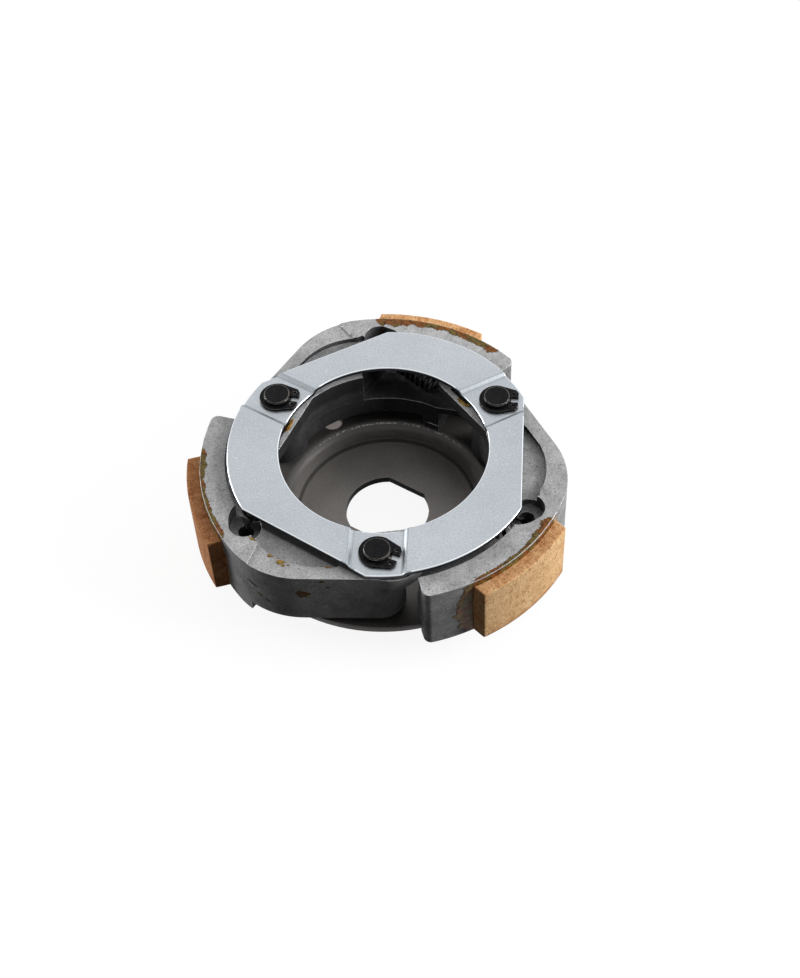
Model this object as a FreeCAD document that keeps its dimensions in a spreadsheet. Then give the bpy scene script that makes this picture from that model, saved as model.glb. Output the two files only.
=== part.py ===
"""Centrifugal clutch with three shoes, for a bell of 134 mm.

The drive plate lies on the plane z = 0 with its hub hole on the Z axis. Station 1 is the pivot
pin at the front, on -Y. Stations 2 and 3 follow at 120 and 240 degrees, so everything that
repeats is drawn once at station 1 and turned about the axis. Each shoe hangs on its pivot pin,
runs clockwise round the axis, and swings outwards when the plate spins fast.
"""
import FreeCAD, Part
import math
import os
import re
import Sketcher

SIZES = (
    ("open_turn", 1.4, "degrees from a shoe's middle position to where it grips the bell"),
    ("rest_turn_1", 0.5, "degrees that the front pin's shoe rests out of its middle position"),
    ("rest_turn_2", 0.0, "the same for the right pin's shoe"),
    ("rest_turn_3", -0.9, "the same for the left pin's shoe, which lies on its rubber"),
    ("pin_circle", 43.2, "radius of the circle that the pivot pins stand on"),
    ("running_clearance", 0.05, "radial clearance of a shoe on its pin"),
    ("fixed_clearance", 0.05, "radial clearance of what is riveted or pressed in"),
    ("touch_gap", 0.3, "gap between faces that only meet in use"),

    ("plate_thick", 2.5, "sheet of the drive plate"),
    ("plate_radius", 54.0, "outer edge of the drive plate"),
    ("plate_edge_round", 0.5, "rounding of the drive plate's edge"),
    ("flange_rise", 6.9, "underside of the flange above the floor's underside"),
    ("floor_radius", 30.6, "crease where the dished floor meets its wall"),
    ("wall_flare", 0.9, "how far the wall leans out before it rolls over"),
    ("roll_radius", 5.5, "outer radius of the roll from wall to flange"),
    ("floor_corner", 1.2, "rounding under the edge of the floor"),
    ("hub_radius", 14.4, "round part of the hub hole"),
    ("hub_flat", 12.5, "distance of each hub flat from the axis"),
    ("hub_turn", 60.0, "direction that the hub flats face"),
    ("window_radius", 3.5, "round hole through the flange"),
    ("window_circle", 39.9, "distance of that hole from the axis"),
    ("window_lag", 28.3, "degrees from a pivot pin back to that hole"),

    ("pin_radius", 5.0, "shaft of a pivot pin, inside the shoe"),
    ("collar_radius", 6.6, "collar that lifts the shoe off the flange"),
    ("collar_height", 2.3, "height of that collar"),
    ("tail_radius", 4.0, "riveted tail through the flange"),
    ("tail_head_radius", 5.8, "flattened head of the tail"),
    ("tail_head_height", 1.3, "thickness of that head"),
    ("turned_chamfer", 0.5, "chamfer on riveted heads, pegs and sleeves"),
    ("shoulder_height", 24.9, "flange to the shoulder that carries the side plate"),
    ("neck_radius", 4.5, "end of the pin above its shoulder"),
    ("neck_height", 4.1, "shoulder to the pin's end"),
    ("neck_chamfer", 0.35, "chamfer on the pin's end"),
    ("groove_radius", 4.3, "bottom of the snap ring's groove"),
    ("groove_width", 1.1, "width of that groove"),

    ("ring_hole", 35.0, "hole of the side plate"),
    ("ring_radius", 52.2, "outer edge of the side plate between its flats"),
    ("ring_thick", 1.6, "sheet of the side plate"),
    ("flat_start", 3.6, "degrees from a pin to the near end of its flat"),
    ("flat_end", 58.8, "degrees from a pin to the far end of its flat"),
    ("pad_drop", 1.17, "how far a pad lies below the rest of the side plate"),
    ("pad_half_width", 8.2, "half width of a pad's flat top"),
    ("joggle_run", 1.2, "width of the slope at each side of a pad"),
    ("pad_hole_clearance", 0.1, "radial clearance of a pad's hole on the pin"),

    ("clip_thick", 1.0, "snap ring's sheet"),
    ("clip_outer", 6.0, "outer radius of a snap ring"),
    ("clip_gap", 1.2, "half of the gap between its lugs"),
    ("clip_reach", 7.3, "how far the lugs stand out"),
    ("clip_lug_half", 4.3, "half width over the two lugs"),
    ("clip_lug_corner", 1.3, "cut corner of a lug, along its end"),
    ("clip_lug_slant", 0.9, "cut corner of a lug, along its side"),
    ("clip_waist", 0.8, "where the ring runs out into its lugs"),
    ("clip_eye_radius", 0.65, "hole in each lug"),
    ("clip_eye_reach", 5.6, "lug holes along the lugs' direction"),
    ("clip_eye_half", 2.6, "lug holes from the middle"),
    ("clip_turn_1", -20.3, "direction of the lugs at the front pin"),
    ("clip_turn_2", -3.4, "direction of the lugs at the right pin"),
    ("clip_turn_3", -7.9, "direction of the lugs at the left pin"),

    ("lining_radius", 67.1, "outer face of a lining, about the middle of its shoe's arc"),
    ("lining_thick", 4.7, "thickness of a friction lining"),
    ("lining_height", 24.0, "width of a lining along the axis"),
    ("lining_half_width", 18.7, "half of a lining's length round the shoe"),
    ("lining_middle", 196.2, "direction of a lining's middle"),
    ("lining_foot", 0.2, "lining's lower edge above the shoe's"),

    ("boss_radius", 8.6, "shoe's boss round the pin"),
    ("arc_x", 1.5, "middle of the arc that the shoe's outer side and lining follow"),
    ("arc_y", -1.55, "middle of that arc"),
    ("arm_straight", 24.5, "straight stretch of the arm's outer edge"),
    ("arm_lift", 2.5, "underside of the arm above the flange"),
    ("arm_height", 21.7, "height of the arm"),
    ("relief_depth", 3.2, "step in the arm's underside along its inner wall"),
    ("relief_radius", 39.5, "outer edge of that step"),
    ("rim_rise", 0.5, "step up from the arm's top to the rim's top"),
    ("rim_overlap", 0.8, "how far the raised rim top reaches in past the channel's wall"),
    ("rim_drop", 1.7, "how far the rim hangs below the flange's top"),
    ("rim_inner", 55.2, "inner radius of the rim that hangs past the flange"),
    ("rim_tail", 231.4, "direction in which the hanging rim ends, from the middle of the arm's bend"),
    ("step_turn", 233.4, "direction in which the rim's raised top ends, from the same point"),
    ("step_lean", 223.5, "direction of that step's inner end, from the axis"),
    ("free_end_turn", 163.5, "direction of the shoe's free end"),
    ("free_end_depth", 11.0, "width of the free end"),
    ("free_end_round", 2.5, "rounding of the free end's outer corner"),
    ("inner_radius", 35.2, "inner wall of a shoe"),
    ("pin_room", 13.2, "hollow of the free end round the next pin"),
    ("nose_radius", 37.5, "nose of the ledge"),
    ("ledge_height", 12.5, "top of the ledge above the flange"),
    ("channel_radius", 52.8, "outer wall of the spring channel"),
    ("channel_start", 26.3, "arm's end face, where the channel starts"),
    ("channel_lean", 0.9, "how far that face slants back"),
    ("ledge_thick", 3.0, "ledge beyond the foot"),
    ("foot_front", 0.8, "end of the foot under the ledge"),
    ("foot_width", 5.6, "length of that foot"),
    ("foot_reach", 40.0, "outer end of that foot"),
    ("foot_gap", 0.4, "foot above the flange"),
    ("undercut_reach", 47.0, "outer wall of the hollow beyond the foot"),
    ("undercut_spread", 1.6, "how far that wall leans out"),
    ("undercut_corner", 3.0, "rounding of that hollow"),
    ("pocket_depth", 2.0, "pocket in the arm's top"),
    ("pocket_end", 13.5, "pocket's end beside the pin"),
    ("pocket_corner", 2.1, "rounding of that end"),
    ("pocket_tail", 22.0, "where the pocket's outer wall starts to bend in"),
    ("pocket_sweep", 24.0, "radius of that bend"),
    ("throat_far", 9.8, "end of that bend, from the recess's middle"),
    ("throat_near", 6.3, "corner between the pocket and the recess, from the same point"),
    ("throat_round", 4.0, "rounding of that corner"),
    ("pocket_wall", 4.7, "arm's outer wall beside the pocket"),
    ("pocket_inner", 37.9, "inner edge of the pocket"),
    ("recess_depth", 5.0, "round recess for the spring's hook"),
    ("recess_radius", 5.3, "radius of that recess"),
    ("throat_bow", 9.0, "bend of the recess's wall on its way to the open side"),
    ("recess_x", -43.6, "middle of the recess"),
    ("recess_y", -30.4, "middle of the recess"),
    ("eye_radius", 2.7, "hole that the spring hooks into"),
    ("eye_x", -43.6, "middle of that hole"),
    ("eye_y", -29.7, "middle of that hole"),
    ("eye_depth", 9.0, "depth of that hole"),

    ("heel_thick", 5.0, "arm behind the pin that carries the next spring"),
    ("heel_reach", 17.5, "heel's spring hole, along the heel"),
    ("heel_inset", 10.0, "heel's spring hole, inwards from the pins' line"),
    ("heel_tip", 2.6, "radius of the heel's tip"),
    ("heel_eye", 1.1, "radius of the heel's spring hole"),
    ("heel_bulge", 11.0, "radius of the heel's outer side"),
    ("heel_shift", 4.0, "middle of that bulge beside the pin"),
    ("heel_swell", 0.6, "how far the bulge stands in from the boss"),
    ("heel_hub", 9.9, "solid ring round the pin beside the heel's pocket"),
    ("heel_eye_wall", 3.5, "heel's wall beside its spring hole"),
    ("heel_wall", 2.3, "wall between the heel's pocket and its outer side"),
    ("heel_pocket_round", 1.5, "rounding of the heel's pocket"),
    ("heel_pocket_depth", 2.5, "pocket in the heel's top"),

    ("wire_radius", 0.65, "spring wire"),
    ("coil_radius", 3.35, "middle of the wire in a spring's coil"),
    ("coil_turns", 8.1, "turns of a coil"),
    ("coil_start", 4.5, "heel's spring hole to the first turn"),
    ("coil_end", 8.0, "last turn to the hole in the shoe"),
    ("coil_gap", 3.07, "coil below the side plate"),
    ("hook_rise", 0.9, "spring's tail above its axis, over the recess"),
    ("hook_bend", 1.5, "bend between a hook and the coil"),
    ("hook_stand", 0.2, "heel's hook above the heel"),
    ("hook_drop", 5.5, "how deep the tail reaches into its hole"),

    ("peg_radius", 3.0, "stop peg"),
    ("peg_circle", 47.0, "distance of a stop peg from the axis"),
    ("peg_turn", 197.2, "direction of a stop peg"),
    ("peg_height", 8.4, "stop peg above the flange"),
    ("peg_head_radius", 4.5, "riveted head of a stop peg"),
    ("peg_head_height", 1.0, "thickness of that head"),
    ("rubber_radius", 5.5, "rubber sleeve on a stop peg"),
    ("rubber_height", 8.0, "height of the rubber sleeve"),
    ("slot_depth", 6.4, "slot in the shoe's underside, over the rubber"),
    ("slot_spare", 0.6, "travel left in the slot when a shoe is fully out"),
)
ALIASES = {name for name, size, meaning in SIZES}
STATIONS = (1, 2, 3)
THROUGH = "200"
ABOVE = "2*rim_rise"

doc = FreeCAD.newDocument("centrifugal_clutch")
sizes = doc.addObject("Spreadsheet::Sheet", "sizes")
for row, (name, size, meaning) in enumerate(SIZES, start=1):
    sizes.set("A%d" % row, meaning)
    sizes.set("B%d" % row, str(size))
    sizes.setAlias("B%d" % row, name)
doc.recompute()


# Expressions over the sheet's values

def bound(text):
    """The expression as another object writes it, with the sheet's name before each value."""
    def prefix(word):
        return "sizes." + word.group() if word.group() in ALIASES else word.group()
    return re.sub(r"[a-z]+(?:_[a-z0-9]+)*", prefix, text)


def number(text):
    result = sizes.evalExpression(text)
    return float(getattr(result, "Value", result))


def polar(radius, turn, centre=("0", "0")):
    """A point at this radius and direction in degrees, as a pair of expressions."""
    return ("%s+(%s)*cos(%s)" % (centre[0], radius, turn),
            "%s+(%s)*sin(%s)" % (centre[1], radius, turn))


# Heights above the resting plane
FLANGE_TOP = "(flange_rise+plate_thick)"
SHOULDER = "(%s+shoulder_height)" % FLANGE_TOP
PAD_TOP = "(%s+ring_thick)" % SHOULDER
RING_UNDER = "(%s+pad_drop)" % SHOULDER
RING_TOP = "(%s+ring_thick)" % RING_UNDER
ARM_UNDER = "(%s+arm_lift)" % FLANGE_TOP
ARM_TOP = "(%s+arm_height)" % ARM_UNDER
RIM_UNDER = "(%s-rim_drop)" % FLANGE_TOP
LEDGE_TOP = "(%s+ledge_height)" % FLANGE_TOP
SPRING_AXIS = "(%s-coil_gap-coil_radius-wire_radius)" % RING_UNDER

# Middle of the shoe's outer arc, and the bend that leads from that arc into the straight arm
SHOE_CENTRE = ("arc_x", "arc_y")
BACKING = "(lining_radius-lining_thick)"
ARM_EDGE = "(-(pin_circle+boss_radius))"
ACROSS = "(arm_straight+arc_x)"
DEPTH = "(arc_y-%s)" % ARM_EDGE
BEND = "((%s^2-%s^2-%s^2)/(2*(%s-%s)))" % (BACKING, ACROSS, DEPTH, BACKING, DEPTH)
BEND_CENTRE = ("-arm_straight", "(%s+%s)" % (ARM_EDGE, BEND))
STRETCH = "(%s/(%s-%s))" % (BACKING, BACKING, BEND)
BEND_END = ("arc_x-%s*%s" % (STRETCH, ACROSS), "arc_y-%s*(%s-%s)" % (STRETCH, DEPTH, BEND))
PIN = ("0", "-pin_circle")
NEXT_PIN = polar("pin_circle", "150")
RECESS = ("recess_x", "recess_y")
HEEL_EYE = ("heel_reach", "(heel_inset-pin_circle)")
HEEL_BULGE = ("heel_shift", "(heel_bulge-heel_swell-pin_circle-boss_radius)")


# Sketches and features

def new_body(name):
    body = doc.addObject("PartDesign::Body", name)
    body.Label = name
    return body


def origin_feature(body, role):
    return next(item for item in body.Origin.OriginFeatures if item.Role == role)


def new_sketch(body, name, height="0", plane="XY_Plane"):
    sketch = body.newObject("Sketcher::SketchObject", name)
    sketch.AttachmentSupport = [(origin_feature(body, plane), "")]
    sketch.MapMode = "FlatFace"
    sketch.setExpression("AttachmentOffset.Base.z", bound(height))
    return sketch


def constrain_point(sketch, geometry, end, x, y):
    """Holds one end of a line or arc, or a circle's middle, at a place worked out from the sheet."""
    for kind, text in (("DistanceX", x), ("DistanceY", y)):
        index = sketch.addConstraint(Sketcher.Constraint(kind, -1, 1, geometry, end, number(text)))
        sketch.setExpression("Constraints[%d]" % index, bound(text))


def draw_circle(sketch, centre, radius):
    place = FreeCAD.Vector(number(centre[0]), number(centre[1]), 0)
    circle = Part.Circle(place, FreeCAD.Vector(0, 0, 1), number(radius))
    geometry = sketch.addGeometry(circle, False)
    constrain_point(sketch, geometry, 3, *centre)
    index = sketch.addConstraint(Sketcher.Constraint("Radius", geometry, number(radius)))
    sketch.setExpression("Constraints[%d]" % index, bound(radius))


def draw_outline(sketch, corners):
    """Closes a line through the corners. A corner is its x and y and, where the edge that leaves
    it is round, the edge's radius, with a minus sign where the edge turns clockwise.
    """
    places = [FreeCAD.Vector(number(corner[0]), number(corner[1]), 0) for corner in corners]
    edges = []
    for index, corner in enumerate(corners):
        start, stop = places[index], places[(index + 1) % len(places)]
        if len(corner) == 2:
            edges.append((sketch.addGeometry(Part.LineSegment(start, stop), False), 1, 2))
            continue
        clockwise = corner[2].startswith("-")
        radius = number(corner[2].lstrip("-"))
        chord = stop - start
        side = FreeCAD.Vector(-chord.y, chord.x, 0).normalize() * (-1 if clockwise else 1)
        centre = (start + stop) * 0.5 + side * math.sqrt(radius ** 2 - (chord.Length / 2) ** 2)
        first, last = (stop, start) if clockwise else (start, stop)
        low = math.atan2(first.y - centre.y, first.x - centre.x)
        high = math.atan2(last.y - centre.y, last.x - centre.x)
        circle = Part.Circle(centre, FreeCAD.Vector(0, 0, 1), radius)
        arc = sketch.addGeometry(Part.ArcOfCircle(circle, low, high), False)
        edges.append((arc, 2, 1) if clockwise else (arc, 1, 2))
        bend = sketch.addConstraint(Sketcher.Constraint("Radius", arc, radius))
        sketch.setExpression("Constraints[%d]" % bend, bound(corner[2].lstrip("-")))
    for index, (geometry, start, stop) in enumerate(edges):
        following = edges[(index + 1) % len(edges)]
        sketch.addConstraint(Sketcher.Constraint("Coincident", geometry, stop, following[0], following[1]))
        constrain_point(sketch, geometry, start, corners[index][0], corners[index][1])


def outline(body, name, corners, height="0", plane="XY_Plane"):
    sketch = new_sketch(body, name, height, plane)
    draw_outline(sketch, corners)
    return sketch


def round_sketch(body, name, circles, height="0"):
    sketch = new_sketch(body, name, height)
    for centre, radius in circles:
        draw_circle(sketch, centre, radius)
    return sketch


def feature(body, kind, name, sketch, length, reverse=False, both_ways=False):
    item = body.newObject("PartDesign::" + kind, name)
    item.Profile = sketch
    item.setExpression("Length", bound(length))
    item.Reversed = reverse
    item.Midplane = both_ways
    return item


def pad(body, name, sketch, length):
    return feature(body, "Pad", name, sketch, length)


def pocket_up(body, name, sketch, length):
    """Cuts from the sketch upwards, away from the resting plane."""
    return feature(body, "Pocket", name, sketch, length, reverse=True)


def pocket_through(body, name, sketch):
    return feature(body, "Pocket", name, sketch, THROUGH, both_ways=True)


def turned(body, name, corners):
    """A solid of revolution about the body's Z axis, from half of its section."""
    sketch = outline(body, name + "_section", corners, plane="XZ_Plane")
    item = body.newObject("PartDesign::Revolution", name)
    item.Profile = sketch
    item.ReferenceAxis = (sketch, ["V_Axis"])
    item.Angle = 360
    return item


def repeat_at_stations(body, name, original):
    doc.recompute()
    pattern = body.newObject("PartDesign::PolarPattern", name)
    pattern.Originals = [original]
    pattern.Axis = (origin_feature(body, "Z_Axis"), [""])
    pattern.Angle = 360
    pattern.Occurrences = len(STATIONS)
    body.Tip = pattern
    return pattern


def turn_to_station(item, station):
    turn = FreeCAD.Rotation(FreeCAD.Vector(0, 0, 1), 120 * (station - 1))
    item.Placement = FreeCAD.Placement(FreeCAD.Vector(), turn)


def hang_on_pin(item, station):
    """Turns a shoe or its lining to this station, and about its pin to where it rests."""
    turn_to_station(item, station)
    place = "%ddeg" % (120 * (station - 1))
    turned_to = "(%s+rest_turn_%d*1deg)" % (place, station)
    item.setExpression("Placement.Rotation.Angle", bound(turned_to))
    item.setExpression("Placement.Base.x", bound("pin_circle*(sin(%s)-sin(%s))" % (place, turned_to)))
    item.setExpression("Placement.Base.y", bound("-pin_circle*(cos(%s)-cos(%s))" % (place, turned_to)))


def stand_at(item, radius, turn, station):
    """Stands an upright piece, drawn about its own axis, at a place of this station."""
    turn_to_station(item, station)
    x, y = polar(radius, "%s+%d" % (turn, 120 * (station - 1)))
    item.setExpression("Placement.Base.x", bound(x))
    item.setExpression("Placement.Base.y", bound(y))


# Drive plate: one pressed sheet with a dished floor, a rolled wall and a flat flange

def make_drive_plate():
    body = new_body("drive_plate")
    wall = "(floor_radius+wall_flare)"
    roll_x = "(%s+roll_radius)" % wall
    roll_z = "(%s-roll_radius)" % FLANGE_TOP
    under_wall = "(%s+plate_thick)" % wall
    edge = "(plate_radius-plate_edge_round)"
    turned(body, "dished_plate", [
        ("0", "0"),
        ("%s-floor_corner" % under_wall, "0", "floor_corner"),
        (under_wall, "floor_corner"),
        (under_wall, roll_z, "-(roll_radius-plate_thick)"),
        (roll_x, "flange_rise"),
        (edge, "flange_rise", "plate_edge_round"),
        ("plate_radius", "flange_rise+plate_edge_round"),
        ("plate_radius", "%s-plate_edge_round" % FLANGE_TOP, "plate_edge_round"),
        (edge, FLANGE_TOP),
        (roll_x, FLANGE_TOP, "roll_radius"),
        (wall, roll_z),
        ("floor_radius", "plate_thick"),
        ("0", "plate_thick"),
    ])
    doc.recompute()
    half = "acos(hub_flat/hub_radius)"
    hub = outline(body, "hub_hole_outline", [
        polar("hub_radius", "hub_turn*1deg+" + half) + ("hub_radius",),
        polar("hub_radius", "hub_turn*1deg+180deg-" + half),
        polar("hub_radius", "hub_turn*1deg+180deg+" + half) + ("hub_radius",),
        polar("hub_radius", "hub_turn*1deg-" + half),
    ])
    pocket_through(body, "hub_hole", hub)
    holes = round_sketch(body, "flange_hole_circles", [
        (PIN, "tail_radius+fixed_clearance"),
        (polar("window_circle", "-90-window_lag"), "window_radius"),
        (polar("peg_circle", "peg_turn"), "peg_radius+fixed_clearance"),
    ])
    cut = pocket_through(body, "flange_holes", holes)
    repeat_at_stations(body, "flange_hole_sets", cut)
    return body


# Side plate: one stamped ring of thin sheet, joggled down to a pad at each pin

def make_side_plate():
    body = new_body("side_plate")
    disc = round_sketch(body, "sheet_circle", [(("0", "0"), "1.05*ring_radius")], RING_UNDER)
    pad(body, "sheet", disc, "ring_thick")

    slack = "ring_thick*(sqrt(joggle_run^2+pad_drop^2)-joggle_run)/pad_drop"
    under = "(pad_half_width+%s)" % slack
    foot = outline(body, "pad_underside", [
        ("-" + under, SHOULDER),
        (under, SHOULDER),
        (under + "+joggle_run", RING_UNDER),
        ("-(%s+joggle_run)" % under, RING_UNDER),
    ], plane="XZ_Plane")
    pads = pad(body, "pad_fold", foot, "1.05*ring_radius")
    repeat_at_stations(body, "pad_folds", pads)

    slope = "(pad_half_width+joggle_run)"
    above = "(%s+ring_thick)" % RING_TOP
    hollow = outline(body, "pad_hollow", [
        ("-pad_half_width", PAD_TOP),
        ("pad_half_width", PAD_TOP),
        (slope, RING_TOP),
        (slope, above),
        ("-" + slope, above),
        ("-" + slope, RING_TOP),
    ], plane="XZ_Plane")
    channel = feature(body, "Pocket", "pad_channel", hollow, "1.1*ring_radius", reverse=True)
    repeat_at_stations(body, "pad_channels", channel)

    corners = []
    for station in STATIONS:
        pin = "%d" % (-90 - 120 * (station - 1))
        corners.append(polar("ring_radius", pin + "-flat_start"))
        corners.append(polar("ring_radius", pin + "-flat_end") + ("-ring_radius",))
    edge = new_sketch(body, "outer_edge")
    draw_outline(edge, corners)
    draw_circle(edge, ("0", "0"), "1.2*ring_radius")
    pocket_through(body, "trimmed_edge", edge)

    middle = round_sketch(body, "middle_circle", [(("0", "0"), "ring_hole")])
    pocket_through(body, "middle_hole", middle)
    pin_hole = round_sketch(body, "pin_hole_circle", [(PIN, "neck_radius+pad_hole_clearance")])
    hole = pocket_through(body, "pin_hole", pin_hole)
    repeat_at_stations(body, "pin_holes", hole)
    return body


# Pivot pins: turned steel, riveted into the flange, with a collar, a shoulder and a groove

def make_pivot_pin(station):
    body = new_body("pivot_pin_%d" % station)
    end = "(%s+neck_height)" % SHOULDER
    collar_top = "(%s+collar_height)" % FLANGE_TOP
    turned(body, "turned_pin_%d" % station, [
        ("0", "flange_rise-tail_head_height"),
        ("tail_head_radius-turned_chamfer", "flange_rise-tail_head_height"),
        ("tail_head_radius", "flange_rise-tail_head_height/2"),
        ("tail_head_radius", "flange_rise"),
        ("tail_radius", "flange_rise"),
        ("tail_radius", FLANGE_TOP),
        ("collar_radius", FLANGE_TOP),
        ("collar_radius", collar_top),
        ("pin_radius", collar_top),
        ("pin_radius", SHOULDER),
        ("neck_radius", SHOULDER),
        ("neck_radius", PAD_TOP),
        ("groove_radius", PAD_TOP),
        ("groove_radius", "%s+groove_width" % PAD_TOP),
        ("neck_radius", "%s+groove_width" % PAD_TOP),
        ("neck_radius", "%s-neck_chamfer" % end),
        ("neck_radius-neck_chamfer", end),
        ("0", end),
    ])
    stand_at(body, "pin_circle", "-90", station)
    return body


# Snap rings: stamped spring steel with two lugs, sprung into the pins' grooves

def make_snap_ring(station):
    body = new_body("snap_ring_%d" % station)
    inner = "(groove_radius+fixed_clearance)"
    mouth = "sqrt(%s^2-clip_gap^2)" % inner
    lug_corner = "(clip_reach-clip_lug_slant)"
    waist = "sqrt(clip_outer^2-clip_waist^2)"
    corners = [
        (mouth, "clip_gap"),
        ("clip_reach", "clip_gap"),
        ("clip_reach", "clip_lug_half-clip_lug_corner"),
        (lug_corner, "clip_lug_half"),
        ("clip_waist", waist, "clip_outer"),
        ("-clip_outer", "0", "clip_outer"),
        ("clip_waist", "-" + waist),
        (lug_corner, "-clip_lug_half"),
        ("clip_reach", "-(clip_lug_half-clip_lug_corner)"),
        ("clip_reach", "-clip_gap"),
        (mouth, "-clip_gap", "-" + inner),
        ("-" + inner, "0", "-" + inner),
    ]
    shape = new_sketch(body, "clip_outline_%d" % station, PAD_TOP)
    draw_outline(shape, corners)
    for side in ("", "-"):
        draw_circle(shape, ("clip_eye_reach", side + "clip_eye_half"), "clip_eye_radius")
    pad(body, "clip_%d" % station, shape, "clip_thick")
    stand_at(body, "pin_circle", "-90", station)
    body.setExpression("Placement.Rotation.Angle", bound("clip_turn_%d" % station))
    return body


# Shoes: aluminium castings, each with a boss, an arm, a rim for the lining, a ledge under the
# spring channel, a foot that slides on the flange and a heel that carries the next spring

def free_end():
    """The outer corner and the end face of the shoe's free end."""
    corner = "(free_end_round/%s*180/pi)" % BACKING
    return [
        polar(BACKING, "free_end_turn+%s" % corner, SHOE_CENTRE) + ("-free_end_round",),
        polar("%s-free_end_round" % BACKING, "free_end_turn", SHOE_CENTRE),
    ]


def shoe_outline():
    """The whole shoe seen from above, without its heel."""
    return [
        ("0", ARM_EDGE),
        ("-arm_straight", ARM_EDGE, "-" + BEND),
        BEND_END + ("-" + BACKING,),
    ] + free_end() + [
        polar("%s-free_end_depth" % BACKING, "free_end_turn", SHOE_CENTRE) + ("pin_room",),
        polar("pin_room", "265", NEXT_PIN),
        polar("nose_radius", "174"),
        polar("inner_radius", "182.5") + ("inner_radius",),
        polar("inner_radius", "268"),
        ("0", "-(pin_circle-0.8*boss_radius)"),
    ]


def rim_outline(inner, bend_turn, inner_turn):
    """The rim behind the lining, from a place on the arm's bend to the free end."""
    return [
        polar(BEND, bend_turn, BEND_CENTRE) + ("-" + BEND,),
        BEND_END + ("-" + BACKING,),
    ] + free_end() + [
        polar(inner, "free_end_turn+0.9") + (inner,),
        polar(inner, inner_turn),
    ]


def add_arm(body, tag):
    whole = outline(body, "shoe_plan" + tag, shoe_outline(), ARM_UNDER)
    pad(body, "shoe_blank" + tag, whole, "arm_height")
    step = outline(body, "relief_plan" + tag, [
        polar("relief_radius", "191") + ("relief_radius",),
        polar("relief_radius", "268"),
        polar("0.9*inner_radius", "268"),
        polar("0.9*inner_radius", "191"),
    ], ARM_UNDER)
    pocket_up(body, "relief" + tag, step, "relief_depth")
    boss = round_sketch(body, "boss_circle" + tag, [(PIN, "boss_radius")], ARM_UNDER)
    pad(body, "boss" + tag, boss, "arm_height")


def add_rim(body, tag):
    step = rim_outline("(channel_radius-rim_overlap)", "step_turn", "step_lean")
    top = outline(body, "rim_top_plan" + tag, step, ARM_TOP)
    pad(body, "rim_top" + tag, top, "rim_rise")
    skirt = outline(body, "skirt_plan" + tag, rim_outline("rim_inner", "rim_tail", "226"), RIM_UNDER)
    pad(body, "skirt" + tag, skirt, "rim_drop+arm_lift")


def add_heel(body, tag):
    underside = "%s-heel_thick" % ARM_TOP
    plan = outline(body, "heel_plan" + tag, [
        polar("inner_radius", "256.9"),
        (HEEL_EYE[0], "%s+heel_tip" % HEEL_EYE[1], "-heel_tip"),
        ("%s+heel_tip" % HEEL_EYE[0], HEEL_EYE[1], "-heel_tip"),
        polar("heel_tip", "-40", HEEL_EYE),
        polar("heel_bulge", "-22", HEEL_BULGE) + ("-heel_bulge",),
        polar("heel_bulge", "-90", HEEL_BULGE),
        ("0", ARM_EDGE),
        ("-boss_radius/2", "-pin_circle"),
    ], underside)
    pad(body, "heel" + tag, plan, "heel_thick")
    eye = round_sketch(body, "heel_eye_circle" + tag, [(HEEL_EYE, "heel_eye")], underside)
    pocket_up(body, "heel_eye" + tag, eye, "heel_thick+" + ABOVE)
    within = "(heel_bulge-heel_wall)"
    hollow = outline(body, "heel_pocket_plan" + tag, [
        polar("heel_eye_wall", "175", HEEL_EYE) + ("-heel_pocket_round",),
        polar("heel_eye_wall", "203", HEEL_EYE),
        polar("heel_eye_wall+heel_tip", "236", HEEL_EYE),
        polar(within, "-19", HEEL_BULGE) + ("-heel_pocket_round",),
        polar("0.8*" + within, "-25", HEEL_BULGE),
        polar("heel_hub", "14", PIN) + ("heel_hub",),
        polar("heel_hub", "62", PIN),
    ], "%s-heel_pocket_depth" % ARM_TOP)
    pocket_up(body, "heel_pocket" + tag, hollow, "heel_pocket_depth+" + ABOVE)


def cut_channel(body, tag):
    """The open space over the ledge, where this shoe's spring and the next shoe's heel lie."""
    plan = outline(body, "channel_plan" + tag, [
        polar("0.8*inner_radius", "225"),
        ("-channel_start", "-channel_start"),
        ("recess_x+0.6*recess_radius", "-(channel_start-channel_lean)"),
        polar("channel_radius", "205.4") + ("-channel_radius",),
        polar("channel_radius", "free_end_turn-3"),
        polar("inner_radius", "145"),
    ], LEDGE_TOP)
    pocket_up(body, "channel" + tag, plan, "arm_height")


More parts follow.
